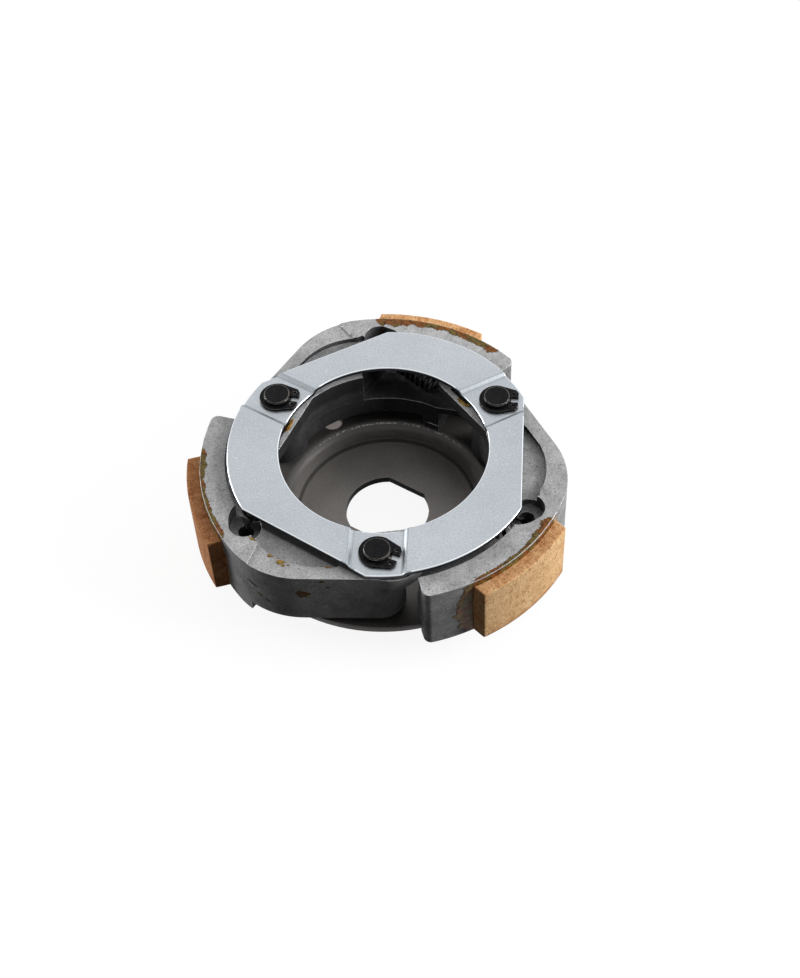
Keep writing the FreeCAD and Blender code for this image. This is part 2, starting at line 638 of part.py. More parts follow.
def cut_pocket(body, tag):
    """The shallow pocket in the arm's top and the round recess that it opens into."""
    floor = "%s-pocket_depth" % ARM_TOP
    wall = "(-(pin_circle+boss_radius-pocket_wall))"
    plan = outline(body, "pocket_plan" + tag, [
        ("-pocket_end", wall, "pocket_corner"),
        ("-(pocket_end-pocket_corner)", "%s+pocket_corner" % wall),
        polar("pocket_inner", "253.2") + ("-pocket_inner",),
        polar("pocket_inner", "228.8"),
        polar("recess_radius", "31", RECESS),
        polar("0.6*recess_radius", "-18", RECESS),
        polar("throat_near", "-66.5", RECESS) + ("-throat_round",),
        polar("throat_far", "-57", RECESS) + ("pocket_sweep",),
        ("-pocket_tail", wall),
    ], floor)
    pocket_up(body, "pocket" + tag, plan, "pocket_depth+" + ABOVE)

    floor = "%s-recess_depth" % ARM_TOP
    recess = round_sketch(body, "recess_circle" + tag, [(RECESS, "recess_radius")], floor)
    pocket_up(body, "recess" + tag, recess, "recess_depth+" + ABOVE)
    past_the_face = "-(channel_start-4*channel_lean)"
    throat = outline(body, "throat_plan" + tag, [
        polar("recess_radius", "178", RECESS) + ("-throat_bow",),
        ("recess_x-0.7*recess_radius", past_the_face),
        ("recess_x+1.13*recess_radius", past_the_face),
        polar("recess_radius", "30", RECESS),
    ], floor)
    pocket_up(body, "throat" + tag, throat, "recess_depth+" + ABOVE)
    eye = round_sketch(body, "eye_circle" + tag, [(("eye_x", "eye_y"), "eye_radius")],
                       "%s-eye_depth" % floor)
    pocket_up(body, "eye" + tag, eye, "eye_depth+" + ABOVE)


def cut_underside(body, tag):
    """The space beyond the foot, under the ledge's end, and the slot over the damper rubber."""
    plan = outline(body, "undercut_plan" + tag, [
        ("-0.85*inner_radius", "-foot_front"),
        ("-(undercut_reach-undercut_corner)", "-foot_front", "-undercut_corner"),
        ("-undercut_reach", "undercut_corner-foot_front"),
        ("-undercut_reach", "0.28*pin_circle"),
        ("-(undercut_reach+undercut_spread)", "0.51*pin_circle"),
        ("-0.85*inner_radius", "0.51*pin_circle"),
    ], RIM_UNDER)
    height = "%s-ledge_thick-%s" % (LEDGE_TOP, RIM_UNDER)
    pocket_up(body, "undercut" + tag, plan, height)

    peg = polar("peg_circle", "peg_turn")
    lever = "sqrt((%s)^2+(%s+pin_circle)^2)" % peg
    travel = "(%s*open_turn*pi/180+slot_spare)" % lever
    settle = "(%s*(-rest_turn_3)*pi/180)" % lever
    along = ("((%s+pin_circle)/%s)" % (peg[1], lever), "(-(%s)/%s)" % (peg[0], lever))
    width = "(rubber_radius+touch_gap)"

    def beside(shift, side):
        return ("%s+%s*(%s)-%s*%s*(%d)" % (peg[0], along[0], shift, along[1], width, side),
                "%s+%s*(%s)+%s*%s*(%d)" % (peg[1], along[1], shift, along[0], width, side))

    def ahead(shift):
        return "%s+%s*(%s)" % (peg[0], along[0], shift), "%s+%s*(%s)" % (peg[1], along[1], shift)

    slot = outline(body, "slot_plan" + tag, [
        beside("-" + settle, -1),
        beside(travel, -1) + (width,),
        ahead("%s+%s" % (travel, width)) + (width,),
        beside(travel, 1),
        beside("-" + settle, 1) + (width,),
        ahead("-%s-%s" % (settle, width)) + (width,),
    ], RIM_UNDER)
    pocket_up(body, "slot" + tag, slot, "%s+slot_depth-%s" % (ARM_UNDER, RIM_UNDER))


def add_foot(body, tag):
    plan = outline(body, "foot_plan" + tag, [
        ("-sqrt(inner_radius^2-foot_front^2)", "-foot_front"),
        ("-sqrt(inner_radius^2-(foot_front+foot_width)^2)", "-(foot_front+foot_width)"),
        ("-foot_reach", "-(foot_front+foot_width)"),
        ("-foot_reach", "-foot_front"),
    ][::-1], "%s+foot_gap" % FLANGE_TOP)
    pad(body, "foot" + tag, plan, "arm_lift")


def make_shoe(station):
    body = new_body("shoe_%d" % station)
    tag = "_%d" % station
    add_arm(body, tag)
    add_rim(body, tag)
    add_foot(body, tag)
    cut_channel(body, tag)
    add_heel(body, tag)
    cut_pocket(body, tag)
    cut_underside(body, tag)
    bore = round_sketch(body, "bore_circle" + tag, [(PIN, "pin_radius+running_clearance")])
    pocket_through(body, "bore" + tag, bore)
    hang_on_pin(body, station)
    return body


# Linings: blocks of friction material bonded to the shoes' outer faces

def lining_corner(radius, side):
    along = "sqrt(%s^2-lining_half_width^2)" % radius
    half = "(%slining_half_width)" % side
    return ("arc_x+%s*cos(lining_middle)-%s*sin(lining_middle)" % (along, half),
            "arc_y+%s*sin(lining_middle)+%s*cos(lining_middle)" % (along, half))


def make_lining(station):
    body = new_body("lining_%d" % station)
    block = outline(body, "lining_plan_%d" % station, [
        lining_corner(BACKING, "-") + (BACKING,),
        lining_corner(BACKING, ""),
        lining_corner("lining_radius", "") + ("-lining_radius",),
        lining_corner("lining_radius", "-"),
    ], "%s+lining_foot" % RIM_UNDER)
    pad(body, "block_%d" % station, block, "lining_height")
    hang_on_pin(body, station)
    return body


# Return springs: each runs from the hole in one shoe to the heel of the next

def on_shoe(station, x, y):
    """Where a place on the shoe of this station lies, seen from above."""
    pin = FreeCAD.Vector(0, -number("pin_circle"), 0)
    upright = FreeCAD.Vector(0, 0, 1)
    swung = FreeCAD.Rotation(upright, number("rest_turn_%d" % station))
    turned_to = FreeCAD.Rotation(upright, 120 * (station - 1))
    return turned_to.multVec(pin + swung.multVec(FreeCAD.Vector(number(x), number(y), 0) - pin))


def spring_points(station):
    """The middle of the wire, from the hook in the next heel to the hook in this shoe."""
    next_station = STATIONS[station - 2]
    heel = on_shoe(next_station, "heel_reach", "heel_inset-pin_circle")
    axis = number(SPRING_AXIS)
    heel.z = axis
    eye = on_shoe(station, "eye_x", "eye_y")
    eye.z = axis + number("hook_rise")
    reach = FreeCAD.Vector(eye.x, eye.y, axis) - heel
    along = FreeCAD.Vector(reach).normalize()
    across = FreeCAD.Vector(-along.y, along.x, 0)
    up = FreeCAD.Vector(0, 0, 1)
    heel += along * number("heel_eye-wire_radius-touch_gap")
    eye -= along * number("eye_radius-wire_radius-touch_gap")
    radius, turns = number("coil_radius"), number("coil_turns")
    pitch = (reach.Length - number("coil_start+coil_end")) / turns
    steps = 12
    start = heel + along * number("coil_start")
    coil = []
    for step in range(int(turns * steps) + 1):
        turned_by = 2 * math.pi * step / steps
        round_axis = across * math.cos(turned_by) + up * math.sin(turned_by)
        coil.append(start + along * (pitch * step / steps) + round_axis * radius)
    bend = number("hook_bend")
    heel_hook = [
        FreeCAD.Vector(heel.x, heel.y, number(ARM_TOP + "+hook_stand")),
        FreeCAD.Vector(heel.x, heel.y, number(ARM_TOP + "-heel_thick/2")),
        FreeCAD.Vector(heel.x, heel.y, axis),
        heel + (along - up * 0.8) * bend,
    ]
    eye_hook = [
        eye + (up * 0.13 - along) * bend,
        eye - along * 0.13 * bend,
        eye - up * 0.8 * bend,
        eye - up * number("hook_drop"),
    ]
    return heel_hook + coil + eye_hook


def wire_solid(points, radius, sides=6):
    """Round wire along the points, drawn as a closed skin of flat facets."""
    rings = []
    normal = FreeCAD.Vector(1, 0, 0)
    for index, point in enumerate(points):
        ahead = points[min(index + 1, len(points) - 1)]
        behind = points[max(index - 1, 0)]
        direction = (ahead - behind).normalize()
        normal = (normal - direction * normal.dot(direction)).normalize()
        side = direction.cross(normal)
        turns = [2 * math.pi * corner / sides for corner in range(sides)]
        rings.append([point + (normal * math.cos(turn) + side * math.sin(turn)) * radius
                      for turn in turns])
    facets = [rings[0][::-1], rings[-1]]
    for near, far in zip(rings, rings[1:]):
        for corner in range(sides):
            following = (corner + 1) % sides
            facets.append([near[corner], near[following], far[following]])
            facets.append([near[corner], far[following], far[corner]])
    faces = [Part.Face(Part.makePolygon(facet + facet[:1])) for facet in facets]
    return Part.Solid(Part.Shell(faces))


def make_return_spring(station):
    spring = doc.addObject("Part::Feature", "return_spring_%d" % station)
    spring.Label = "return_spring_%d" % station
    spring.Shape = wire_solid(spring_points(station), number("wire_radius"))
    return spring


# Stop pegs and their rubbers, which hold the shoes off the hub when the springs pull them in

def make_stop_peg(station):
    body = new_body("stop_peg_%d" % station)
    top = "(%s+peg_height)" % FLANGE_TOP
    turned(body, "peg_%d" % station, [
        ("0", "flange_rise-peg_head_height"),
        ("peg_head_radius", "flange_rise-peg_head_height"),
        ("peg_head_radius", "flange_rise"),
        ("peg_radius", "flange_rise"),
        ("peg_radius", "%s-turned_chamfer" % top),
        ("peg_radius-turned_chamfer", top),
        ("0", top),
    ])
    stand_at(body, "peg_circle", "peg_turn", station)
    return body


def make_damper_rubber(station):
    body = new_body("damper_rubber_%d" % station)
    bore = "(peg_radius+fixed_clearance)"
    top = "(%s+rubber_height)" % FLANGE_TOP
    turned(body, "sleeve_%d" % station, [
        (bore, FLANGE_TOP),
        ("rubber_radius", FLANGE_TOP),
        ("rubber_radius", "%s-turned_chamfer" % top),
        ("rubber_radius-turned_chamfer", top),
        (bore, top),
    ])
    stand_at(body, "peg_circle", "peg_turn", station)
    return body


pieces = [make_drive_plate(), make_side_plate()]
for make in (make_pivot_pin, make_snap_ring, make_shoe, make_lining, make_return_spring,
             make_stop_peg, make_damper_rubber):
    pieces.extend(make(station) for station in STATIONS)
doc.recompute()

for item in doc.Objects:
    if "Invalid" in item.State or "Error" in item.State:
        raise RuntimeError("%s did not recompute: %s" % (item.Name, item.State))
for piece in pieces:
    if piece.Shape.isNull() or not piece.Shape.isValid():
        raise RuntimeError("%s has no valid shape" % piece.Label)

os.makedirs("parts", exist_ok=True)
for piece in pieces:
    piece.Shape.exportStep("parts/%s.step" % piece.Label)
    print(piece.Label, len(piece.Shape.Solids), round(piece.Shape.Volume, 1))
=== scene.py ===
"""Looks of a centrifugal clutch with three shoes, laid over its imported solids.

The scene is in metres. Sizes of the clutch are given in millimetres, and MM makes metres of them.
The hub hole's axis is Z and the drive plate lies on z = 0. Station 1 is the pivot pin on -Y, and
stations 2 and 3 follow at 120 and 240 degrees. Each shoe runs clockwise from its pin, and what
belongs to a shoe is given on shoe 1 and turned to its station.
"""
import math

import bmesh
import bpy
from mathutils import Matrix, Vector, noise
from mathutils.bvhtree import BVHTree


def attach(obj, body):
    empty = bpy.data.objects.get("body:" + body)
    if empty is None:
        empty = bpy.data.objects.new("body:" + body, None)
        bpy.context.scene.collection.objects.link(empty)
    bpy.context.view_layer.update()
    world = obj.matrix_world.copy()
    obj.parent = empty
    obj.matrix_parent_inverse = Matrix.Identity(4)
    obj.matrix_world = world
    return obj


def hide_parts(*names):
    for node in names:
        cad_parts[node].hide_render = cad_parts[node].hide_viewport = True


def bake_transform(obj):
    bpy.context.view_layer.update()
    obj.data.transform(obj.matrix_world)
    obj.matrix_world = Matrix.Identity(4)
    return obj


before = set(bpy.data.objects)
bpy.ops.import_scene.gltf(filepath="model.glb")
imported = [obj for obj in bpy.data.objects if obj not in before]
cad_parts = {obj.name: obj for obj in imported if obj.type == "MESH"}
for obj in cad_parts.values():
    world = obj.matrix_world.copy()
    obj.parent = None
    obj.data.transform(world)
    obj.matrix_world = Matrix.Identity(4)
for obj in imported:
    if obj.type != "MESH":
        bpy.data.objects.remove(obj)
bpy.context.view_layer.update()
bpy.context.scene.view_settings.view_transform = "Standard"


# Drive plate. It is pressed from 2.5 mm steel sheet, with a dished floor round the hub hole and a
# flat flange, and is left in its dark mill finish. Its flange beyond the floor's crease, the crease
# and its cut edges are darkened with painted shade, and worn specks of bare steel on the back of the
# bend's crest are painted bright as a painted glint. The pivot pins and the stop pegs are riveted
# into its flange.

MM = 0.001
STATIONS = (1, 2, 3)
PLATE_CREASE = 30.9
PLATE_CREST = PLATE_CREASE + 3.5
HUB_EDGE = 16
FLANGE_EDGE = 54
FACET_GAP = 0.002
FACET_TURN = 0.6
SHARP_TURN = 32


def put(finish, kind, inputs=None, **options):
    """Adds a node to a finish, sets its options, and sets or links its inputs."""
    node = finish.node_tree.nodes.new("ShaderNode" + kind)
    for option, choice in options.items():
        setattr(node, option, choice)
    for name, value in (inputs or {}).items():
        if isinstance(value, bpy.types.NodeSocket):
            finish.node_tree.links.new(value, node.inputs[name])
        else:
            node.inputs[name].default_value = value
    return node


def new_finish(name, metal, rough, shine):
    """A finish whose even values stand on its shader."""
    finish = bpy.data.materials.new(name)
    finish.use_nodes = True
    shader = finish.node_tree.nodes["Principled BSDF"]
    shader.inputs["Metallic"].default_value = metal
    shader.inputs["Roughness"].default_value = rough
    shader.inputs["Specular IOR Level"].default_value = shine
    return finish


def drive(finish, name, value):
    """Feeds one input of the finish's shader."""
    shader = finish.node_tree.nodes["Principled BSDF"]
    finish.node_tree.links.new(value, shader.inputs[name])


def count(finish, operation, first, second=0.0, third=0.0):
    """One number worked out from up to three."""
    return put(finish, "Math", {0: first, 1: second, 2: third}, operation=operation).outputs[0]


def product(finish, number, *others):
    """Numbers multiplied together."""
    for other in others:
        number = count(finish, "MULTIPLY", number, other)
    return number


def measure(finish, operation, first, second=(0, 0, 0)):
    """One number worked out from one or two vectors."""
    return put(finish, "VectorMath", {0: first, 1: second}, operation=operation).outputs["Value"]


def between(finish, amount, start, end, low, high):
    """A number that goes from low to high while the amount goes from start to end."""
    inputs = {"Value": amount, "From Min": start, "From Max": end, "To Min": low, "To Max": high}
    return put(finish, "MapRange", inputs).outputs["Result"]


def place(finish, squeeze=(1, 1, 1), turn=0.0):
    """Places on the object in millimetres, turned about Z and then squeezed along each axis."""
    inputs = {
        "Vector": put(finish, "TexCoord").outputs["Object"],
        "Rotation": (0, 0, math.radians(turn)),
        "Scale": [MM / part for part in squeeze],
    }
    return put(finish, "Mapping", inputs, vector_type="TEXTURE").outputs["Vector"]


def place_along(finish, axis):
    """A place's number along one axis, in millimetres."""
    return put(finish, "SeparateXYZ", {0: place(finish)}).outputs[axis]


def flat_place(finish):
    """A place as seen from above, in millimetres."""
    return put(finish, "VectorMath", {0: place(finish), 1: (1, 1, 0)}, operation="MULTIPLY").outputs[0]


def from_axis(finish):
    """How far a place is from the clutch's axis, in millimetres."""
    return measure(finish, "LENGTH", flat_place(finish))


def facing_up(finish, normal="True Normal"):
    """1 where a surface faces up, 0 on a wall and -1 where it faces down."""
    return put(finish, "SeparateXYZ", {0: put(finish, "NewGeometry").outputs[normal]}).outputs["Z"]


def mottle(finish, per_mm, detail=4.0, rough=0.6, where=None):
    """Cloudy variation, with this many blotches to the millimetre."""
    inputs = {"Vector": where or place(finish), "Scale": per_mm, "Detail": detail, "Roughness": rough}
    return put(finish, "TexNoise", inputs).outputs["Fac"]


def grey(level):
    return (level, level, level)


def tones(finish, amount, *stops):
    """Colours along a scale. Each stop is its place on the scale and a colour."""
    ramp = put(finish, "ValToRGB", {"Fac": amount}).color_ramp
    ramp.elements[1].position = stops[-1][0]
    ramp.elements[1].color = (*stops[-1][1], 1)
    ramp.elements[0].position = stops[0][0]
    ramp.elements[0].color = (*stops[0][1], 1)
    for position, colour in stops[1:-1]:
        ramp.elements.new(position).color = (*colour, 1)
    return ramp.id_data.nodes[-1].outputs["Color"]


def mixed(finish, amount, first, second, blend="MIX"):
    """Two colours laid over each other. Each is three numbers or the output of a node."""
    inputs = {0: amount, 6: first, 7: second}
    for side in (6, 7):
        if isinstance(inputs[side], tuple):
            inputs[side] = (*inputs[side], 1)
    return put(finish, "Mix", inputs, data_type="RGBA", blend_type=blend).outputs[2]


def grained(finish, colour, cloud, *stops, amount=1.0):
    """A colour made lighter and darker by the tones along a cloud."""
    return mixed(finish, amount, colour, tones(finish, cloud, *stops), "MULTIPLY")


def relief(finish, height, depth):
    """Fine unevenness of the surface, of this depth in millimetres."""
    bump = put(finish, "Bump", {"Height": height, "Distance": depth * MM})
    drive(finish, "Normal", bump.outputs["Normal"])


def dress(node, finish, edge, steps=2, rubbed=None):
    """Gives a solid its finish, and its edges a rounding in millimetres and a finish of their own."""
    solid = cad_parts[node]
    for face in solid.data.polygons:
        face.use_smooth = True
    joined = solid.modifiers.new("joined_facets", "WELD")
    joined.merge_threshold = FACET_GAP * MM
    flat = solid.modifiers.new("whole_faces", "DECIMATE")
    flat.decimate_type = "DISSOLVE"
    flat.angle_limit = math.radians(FACET_TURN)
    rounded = solid.modifiers.new("rounded_edges", "BEVEL")
    rounded.width = edge * MM
    rounded.segments = steps
    rounded.limit_method = "ANGLE"
    rounded.angle_limit = math.radians(SHARP_TURN)
    rounded.miter_outer = "MITER_ARC"
    even = solid.modifiers.new("even_light", "WEIGHTED_NORMAL")
    even.keep_sharp = True
    for slot in solid.material_slots:
        slot.material = finish
    if rubbed:
        solid.data.materials.append(rubbed)
        rounded.material = len(solid.data.materials) - 1


def rubbed_metal(name, colour, metal, rough, skin=0.35):
    """Bare metal where an edge is rubbed. The skin is how bright the spots are that it has left."""
    finish = new_finish(name, metal, rough, shine=0.5)
    low = [part * skin for part in colour]
    drive(finish, "Base Color", tones(finish, mottle(finish, 1.1, 4, 0.7), (0.38, low), (0.58, colour)))
    return finish


def shaded_pressed_steel():
    """Dark mill steel with painted shade beyond its crease, along its crease and on its cut edges.
    Worn specks of bare steel on the back of the bend's crest also carry a painted glint.
    """
    finish = new_finish("pressed_steel_painted_shade", metal=0.15, rough=0.4, shine=0.3)
    mill_dark, mill_light = (0.320, 0.298, 0.284), (0.390, 0.366, 0.348)
    painted_shade_tone, bare_steel_and_glint = (0.010, 0.009, 0.009), (0.75, 0.73, 0.70)
    cut, crease_shade = (0.008, 0.008, 0.009), (0.02, 0.018, 0.017)
    cloud = mottle(finish, 0.06, 3)
    colour = tones(finish, cloud, (0.3, mill_dark), (0.7, mill_light))
    colour = grained(finish, colour, mottle(finish, 2.2, 2), (0.3, grey(0.78)), (0.7, grey(1)))
    reach = from_axis(finish)
    # Painted shade: beyond the crease, where the flange lies under the shoes, the steel is darkened.
    flange_shade = between(finish, reach, PLATE_CREASE, PLATE_CREASE + 2.5, 0.0, 0.66)
    colour = mixed(finish, flange_shade, colour, painted_shade_tone)
    # Worn specks of bare steel on the back of the crest, painted bright as a painted glint.
    crest = count(finish, "COMPARE", reach, PLATE_CREST, 0.25)
    worn = between(finish, mottle(finish, 1.3, 3), 0.50, 0.58, 0.0, 0.8)
    back = between(finish, place_along(finish, "Y"), 20, 28, 0.0, 1.0)
    colour = mixed(finish, product(finish, crest, worn, back), colour, bare_steel_and_glint)
    # Painted shade: the upright cut edges at the hub hole and the flange's rim are painted near black, with
    # little shine.
    at_edge = count(finish, "MAXIMUM", count(finish, "LESS_THAN", reach, HUB_EDGE),
                    count(finish, "GREATER_THAN", reach, FLANGE_EDGE))
    upright = count(finish, "LESS_THAN", count(finish, "ABSOLUTE", facing_up(finish)), 0.5)
    cut_edge = product(finish, at_edge, upright)
    colour = mixed(finish, cut_edge, colour, cut)
    # Painted shade: a dark line along the crease.
    from_crease = count(finish, "ABSOLUTE", count(finish, "SUBTRACT", reach, PLATE_CREASE))
    colour = mixed(finish, between(finish, from_crease, 0.25, 0.6, 0.75, 0.0), colour, crease_shade)
    drive(finish, "Base Color", colour)
    drive(finish, "Specular IOR Level", between(finish, cut_edge, 0.0, 1.0, 0.3, 0.02))
    drive(finish, "Roughness", between(finish, cloud, 0.3, 0.7, 0.36, 0.46))
    relief(finish, mottle(finish, 1.6, 3), 0.02)
    return finish


plate_steel = shaded_pressed_steel()
rubbed_steel = rubbed_metal("rubbed_pressed_steel", (0.30, 0.29, 0.28), metal=1.0, rough=0.3)
dress("drive_plate", plate_steel, 0.2, rubbed=rubbed_steel)


# Stop pegs and their sleeves. The pegs are plain steel rivets set in the flange, and each carries
# a pressed-on sleeve of black rubber that stops a shoe on its way back.

def black_rubber():
    finish = new_finish("black_rubber", metal=0.0, rough=0.7, shine=0.3)
    drive(finish, "Base Color", tones(finish, mottle(finish, 0.8), (0.3, grey(0.012)), (0.7, grey(0.03))))
    relief(finish, mottle(finish, 3.0), 0.02)
    return finish


rubber = black_rubber()
for station in STATIONS:
    dress("damper_rubber_%d" % station, rubber, 0.3)
    dress("stop_peg_%d" % station, plate_steel, 0.2)


# Pivot pins and snap rings. The pins are turned steel, riveted into the flange and blackened, and
# a stamped snap ring, blackened too, sits in each pin's groove and holds the side plate down.

def blackened_steel(name, rough):
    """Black skin on steel, brown where it is thin."""
    finish = new_finish(name, metal=0.0, rough=rough, shine=0.06)
    deep, worn, brown = (0.003, 0.003, 0.004), (0.008, 0.008, 0.009), (0.030, 0.022, 0.017)
    cloud = mottle(finish, 0.35, 5, 0.7)
    drive(finish, "Base Color", tones(finish, cloud, (0.35, deep), (0.62, worn), (0.75, brown)))
    patches = mottle(finish, 1.5)
    drive(finish, "Roughness", between(finish, patches, 0.35, 0.65, rough - 0.08, rough + 0.12))
    relief(finish, mottle(finish, 2.5, 3), 0.012)
    return finish


pin_black = blackened_steel("blackened_pin", 0.34)
ring_black = blackened_steel("blackened_snap_ring", 0.30)
worn_black = rubbed_metal("rubbed_black_steel", (0.16, 0.145, 0.13), metal=0.9, rough=0.25, skin=0.15)
for station in STATIONS:
    dress("pivot_pin_%d" % station, pin_black, 0.14, rubbed=worn_black)
    dress("snap_ring_%d" % station, ring_black, 0.09, rubbed=worn_black)


# Shoes. Each is a rough die casting in aluminium with a boss on its pin, a rim behind its lining,
# a ledge under its spring and a heel for the next spring. It is left as cast, with shallow pits. Its
# walls, its pocket walls, its inside and its tops under the side plate are darkened with painted shade.

PIN_CIRCLE = 43.2
REST_TURN = {1: 0.5, 2: 0.0, 3: -0.9}
ARC_CENTRE = Vector((1.5, -1.55, 0))
RIM_RADIUS = 62.4
RIM_TOP = 34.1
INNER_WALL = 35.2
LEDGE_TOP = 21.9
POCKET_FLOOR = 26
SIDE_PLATE_RADIUS = 52.2
SIDE_PLATE_FLAT = 46.3
FLAT_BEHIND_PIN = 31.2


def bearing(turn):
    """A direction across the clutch's axis, this many degrees round from X."""
    return Vector((math.cos(math.radians(turn)), math.sin(math.radians(turn)), 0))


def pin_turn(station):
    """Where a station's pin is, in degrees round from X."""
    return 120 * (station - 1) - 90


def to_station(station):
    """Takes a place on shoe 1's drawing, in millimetres, to where this station's shoe rests."""
    pin = Matrix.Translation((0, -PIN_CIRCLE, 0))
    swung = pin @ Matrix.Rotation(math.radians(REST_TURN[station]), 4, "Z") @ pin.inverted()
    return Matrix.Scale(MM, 4) @ Matrix.Rotation(math.radians(120 * (station - 1)), 4, "Z") @ swung


def outward(finish):
    """The direction straight out from the clutch's axis."""
    return put(finish, "VectorMath", {0: flat_place(finish)}, operation="NORMALIZE").outputs[0]


def spots(finish, per_mm, size):
    """Round spots, this many to the millimetre. Their size is a share of the space for each."""
    inputs = {"Vector": place(finish), "Scale": per_mm, "Randomness": 1.0}
    return count(finish, "LESS_THAN", put(finish, "TexVoronoi", inputs).outputs["Distance"], size)


def under_side_plate(finish, reach):
    """1 inside the side plate's outline, and 0 a little outside it."""
    beyond = count(finish, "SUBTRACT", reach, SIDE_PLATE_RADIUS)
    for station in STATIONS:
        flat = bearing(pin_turn(station) - FLAT_BEHIND_PIN)
        past_flat = count(finish, "SUBTRACT", measure(finish, "DOT_PRODUCT", place(finish), flat),
                          SIDE_PLATE_FLAT)
        beyond = count(finish, "MAXIMUM", beyond, past_flat)
    return between(finish, beyond, -0.5, 0.25, 1.0, 0.0)


def cast_aluminium():
    """Grainy grey metal with scrapes, grime and pits. Its walls, its pocket walls, its inside and its
    tops under the side plate are darkened with painted shade, and its pits with dirt and painted shade.
    """
    finish = new_finish("cast_aluminium", metal=0.0, rough=0.6, shine=0.06)
    spot_shade, even, clean = (0.38, 0.38, 0.385), (0.47, 0.47, 0.475), (0.55, 0.55, 0.56)
    scratch, dirt, pit_dirt_and_shade = (0.62, 0.62, 0.63), (0.08, 0.077, 0.072), (0.07, 0.07, 0.07)
    pocket_wall_shade, painted_shade_tone, side_plate_shadow = (0.03, 0.03, 0.031), (0.22, 0.22, 0.225), (0.02, 0.02, 0.021)
    cloud = mottle(finish, 0.16, 6, 0.65)
    grain = mottle(finish, 2.3, 4, 0.8)
    colour = tones(finish, cloud, (0.35, spot_shade), (0.5, even), (0.66, clean))
    colour = grained(finish, colour, grain, (0.32, grey(0.44)), (0.5, grey(0.96)), (0.68, grey(1.36)))
    scrape = mottle(finish, 1.0, 3, where=place(finish, (0.3, 3.2, 3.2), 55))
    handled = between(finish, mottle(finish, 0.11, 2), 0.50, 0.58, 0.0, 1.0)
    scraped = product(finish, between(finish, scrape, 0.66, 0.72, 0.0, 0.7), handled)
    colour = mixed(finish, scraped, colour, scratch)
    grime = between(finish, mottle(finish, 0.42, 6, 0.75), 0.60, 0.68, 0.0, 0.65)
    colour = mixed(finish, grime, colour, dirt)
    # The pits are darkened with dirt and painted shade.
    pit = spots(finish, 0.55, between(finish, mottle(finish, 0.23, 2), 0.5, 0.7, 0.0, 0.16))
    colour = mixed(finish, pit, colour, pit_dirt_and_shade)

    # Painted shade: the walls are darkened to about half the tone of the tops.
    wall = between(finish, facing_up(finish), 0.25, 0.8, 1.0, 0.0)
    colour = mixed(finish, wall, colour, grey(0.56), "MULTIPLY")
    above_floor = place_along(finish, "Z")
    # Painted shade: inward-facing walls near the top, round the pockets, are painted near black.
    out = measure(finish, "DOT_PRODUCT", put(finish, "NewGeometry").outputs["True Normal"], outward(finish))
    pocket_wall = product(finish, between(finish, out, -0.3, 0.0, 0.65, 0.0), wall,
                          between(finish, above_floor, POCKET_FLOOR, POCKET_FLOOR + 2, 0.0, 1.0))
    colour = mixed(finish, pocket_wall, colour, pocket_wall_shade)
    # Painted shade: walls and low parts near the axis are darkened, where little light reaches the inside.
    reach = from_axis(finish)
    inside = between(finish, reach, INNER_WALL + 7, INNER_WALL + 12, 1.0, 0.0)
    low = between(finish, above_floor, LEDGE_TOP + 3, LEDGE_TOP + 8, 1.0, 0.0)
    wall_or_low = count(finish, "MAXIMUM", wall, low)
    colour = mixed(finish, product(finish, wall_or_low, inside), colour, painted_shade_tone, "MULTIPLY")
    # Painted shadow: tops under the side plate's outline are painted near black.
    behind_wall = between(finish, reach, INNER_WALL + 4, INNER_WALL + 8, 0.0, 1.0)
    top = count(finish, "SUBTRACT", 1.0, wall_or_low)
    covered = product(finish, under_side_plate(finish, reach), 0.85, top, behind_wall)
    colour = mixed(finish, covered, colour, side_plate_shadow)
    drive(finish, "Base Color", colour)
    drive(finish, "Roughness", between(finish, cloud, 0.3, 0.7, 0.68, 0.5))
    skin = count(finish, "ADD", product(finish, mottle(finish, 0.5, 3), 1.6), grain)
    relief(finish, count(finish, "SUBTRACT", skin, pit), 0.10)
    return finish


casting = cast_aluminium()
rubbed_casting = rubbed_metal("rubbed_casting", (0.85, 0.85, 0.86), metal=0.6, rough=0.32, skin=0.6)
for station in STATIONS:
    dress("shoe_%d" % station, casting, 0.42, rubbed=rubbed_casting)


# Linings. Each is a block of friction material, ground to the bell's curve on its outer face and
# bonded to the shoe. The moulded skin on its other faces is darker and orange-brown.

LINING_RADIUS = 67.1
LINING_HALF = 18.7
LINING_MIDDLE = 196.2
LINING_FOOT = 7.9
LINING_HEIGHT = 24.0
LINING_SQUARES = (94, 14, 60)
EDGE_ROUND = 0.22
EDGE_WEAR = 0.35


def new_object(name, data):
    """An object that stands in the scene."""
    made = bpy.data.objects.new(name, data)
    bpy.context.scene.collection.objects.link(made)
    return made


def new_piece(name, points, faces, finishes):
    """A piece from points in metres and faces, each with the number of its finish at its end."""
    mesh = bpy.data.meshes.new(name)
    mesh.from_pydata(points, [], [face[:-1] for face in faces])
    for finish in finishes:
        mesh.materials.append(finish)
    for face, made in zip(faces, mesh.polygons):
        made.material_index = face[-1]
        made.use_smooth = True
    shape = bmesh.new()
    shape.from_mesh(mesh)
    bmesh.ops.remove_doubles(shape, verts=shape.verts, dist=0.001 * MM)
    bmesh.ops.recalc_face_normals(shape, faces=shape.faces)
    shape.to_mesh(mesh)
    shape.free()
    return new_object(name, mesh)


